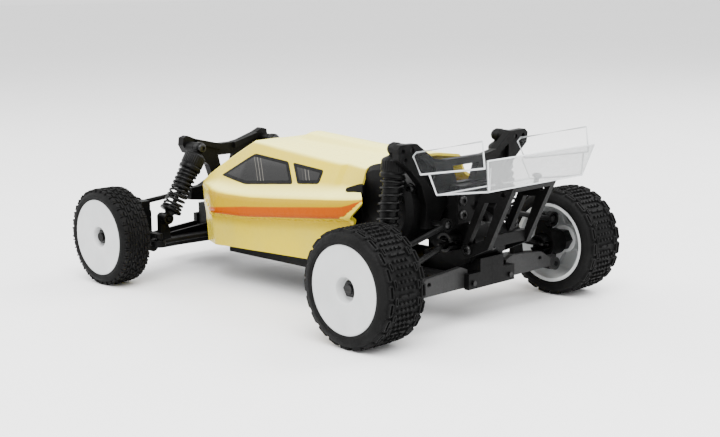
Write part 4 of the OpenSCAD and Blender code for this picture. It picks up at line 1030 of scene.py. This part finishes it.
def dress_nodes():
    slots = {part["node"]: part["material_slot"] for part in frame["record"]["subparts"]}
    for name, obj in nodes.items():
        slot = slots[name]
        if slot not in KEPT:
            continue
        mat, width = KEPT[slot]
        if name in LIT_ARMS:
            mat = LIT_NYLON
        if name in DARKENED:
            mat = BLACK_STEEL
        obj.data.materials.clear()
        obj.data.materials.append(mat)
        if width:
            weld = obj.modifiers.new("weld", "WELD")
            weld.merge_threshold = 0.004 * MM
            flat = obj.modifiers.new("flat", "DECIMATE")
            flat.decimate_type = "DISSOLVE"
            flat.angle_limit = math.radians(1)
            soft = obj.modifiers.new("soft", "BEVEL")
            soft.width = width * MM
            soft.segments = 2
            soft.limit_method = "ANGLE"
            soft.angle_limit = math.radians(40)
            soft.use_clamp_overlap = True
            even = obj.modifiers.new("even", "WEIGHTED_NORMAL")
            even.keep_sharp = True
            even.weight = 80


# ---------------------------------------------------------------- stage


# Name, place in metres, power in watts and width of each soft light
LIGHTS = (("key", (-0.35, 0.35, 0.75), 18.0, 0.7), ("fill", (0.6, 0.35, 0.45), 5.0, 0.6),
          ("rim", (-0.2, -0.6, 0.6), 8.0, 0.6))
LIGHT_AIM = (0, 0, 0.02)
SKY_STRENGTH = 1.6
FLOOR_HALF = 6.0


def stage():
    mesh = bpy.data.meshes.new("floor")
    corners = ((-1, -1), (1, -1), (1, 1), (-1, 1))
    mesh.from_pydata([(x * FLOOR_HALF, y * FLOOR_HALF, 0) for x, y in corners], [], [(0, 1, 2, 3)])
    floor = bpy.data.objects.new("floor", mesh)
    bpy.context.scene.collection.objects.link(floor)
    mesh.materials.append(surface("studio_floor", (0.93, 0.93, 0.93), (0.95, 0.95, 0.95), (0.45, 0.55),
                                  grain=40, bump_mm=0.0, patch=3))
    world = bpy.data.worlds.new("studio")
    world.use_nodes = True
    back = world.node_tree.nodes["Background"]
    back.inputs["Color"].default_value = (1.0, 1.0, 1.0, 1)
    back.inputs["Strength"].default_value = SKY_STRENGTH
    bpy.context.scene.world = world
    for name, place, energy, extent in LIGHTS:
        light = bpy.data.lights.new(name, "AREA")
        light.energy = energy
        light.size = extent
        lamp = bpy.data.objects.new(name, light)
        lamp.location = place
        aim = (Vector(LIGHT_AIM) - Vector(place)).normalized()
        lamp.rotation_euler = aim.to_track_quat("-Z", "Y").to_euler()
        bpy.context.scene.collection.objects.link(lamp)


CAMERA_PLACE = (-316.07, 302.17, 102.38)  # millimetres
CAMERA_TURN = (-44.373, -10.184, -0.714)  # heading, pitch and roll in degrees
LENS, FILM = 66.04, 36


def camera():
    yaw, pitch, roll = (math.radians(a) for a in CAMERA_TURN)
    ahead = Vector((math.cos(pitch) * math.cos(yaw), math.cos(pitch) * math.sin(yaw), math.sin(pitch)))
    right = ahead.cross(Vector((0, 0, 1))).normalized()
    up = right.cross(ahead)
    rolled_right = right * math.cos(roll) + up * math.sin(roll)
    rolled_up = up * math.cos(roll) - right * math.sin(roll)
    data = bpy.data.cameras.new("camera")
    data.sensor_width = FILM
    data.lens = LENS
    data.clip_start = 0.01
    data.clip_end = 50
    cam = bpy.data.objects.new("camera", data)
    matrix = Matrix((rolled_right, rolled_up, -ahead)).transposed().to_4x4()
    matrix.translation = Vector(CAMERA_PLACE) * MM
    cam.matrix_world = matrix
    bpy.context.scene.collection.objects.link(cam)
    bpy.context.scene.camera = cam


# ---------------------------------------------------------------- build

# Each end's spring turns, and where its shock's cap and cylinder end below the top eye
SHOCKS = (("front", 10, 8.8, 16.6), ("rear", 11, 8.6, 22.0))

camera()
stage()
dress_nodes()
outside = body_shell()
windows(outside)
vanes(outside)
dark_gap_wedge()
wing()
for side_name in SIDES:
    for end_name, coils, cap, cylinder_end in SHOCKS:
        wheel(end_name, side_name)
        spring(end_name, side_name, coils)
        shock_cap(end_name, side_name, cap, cylinder_end)
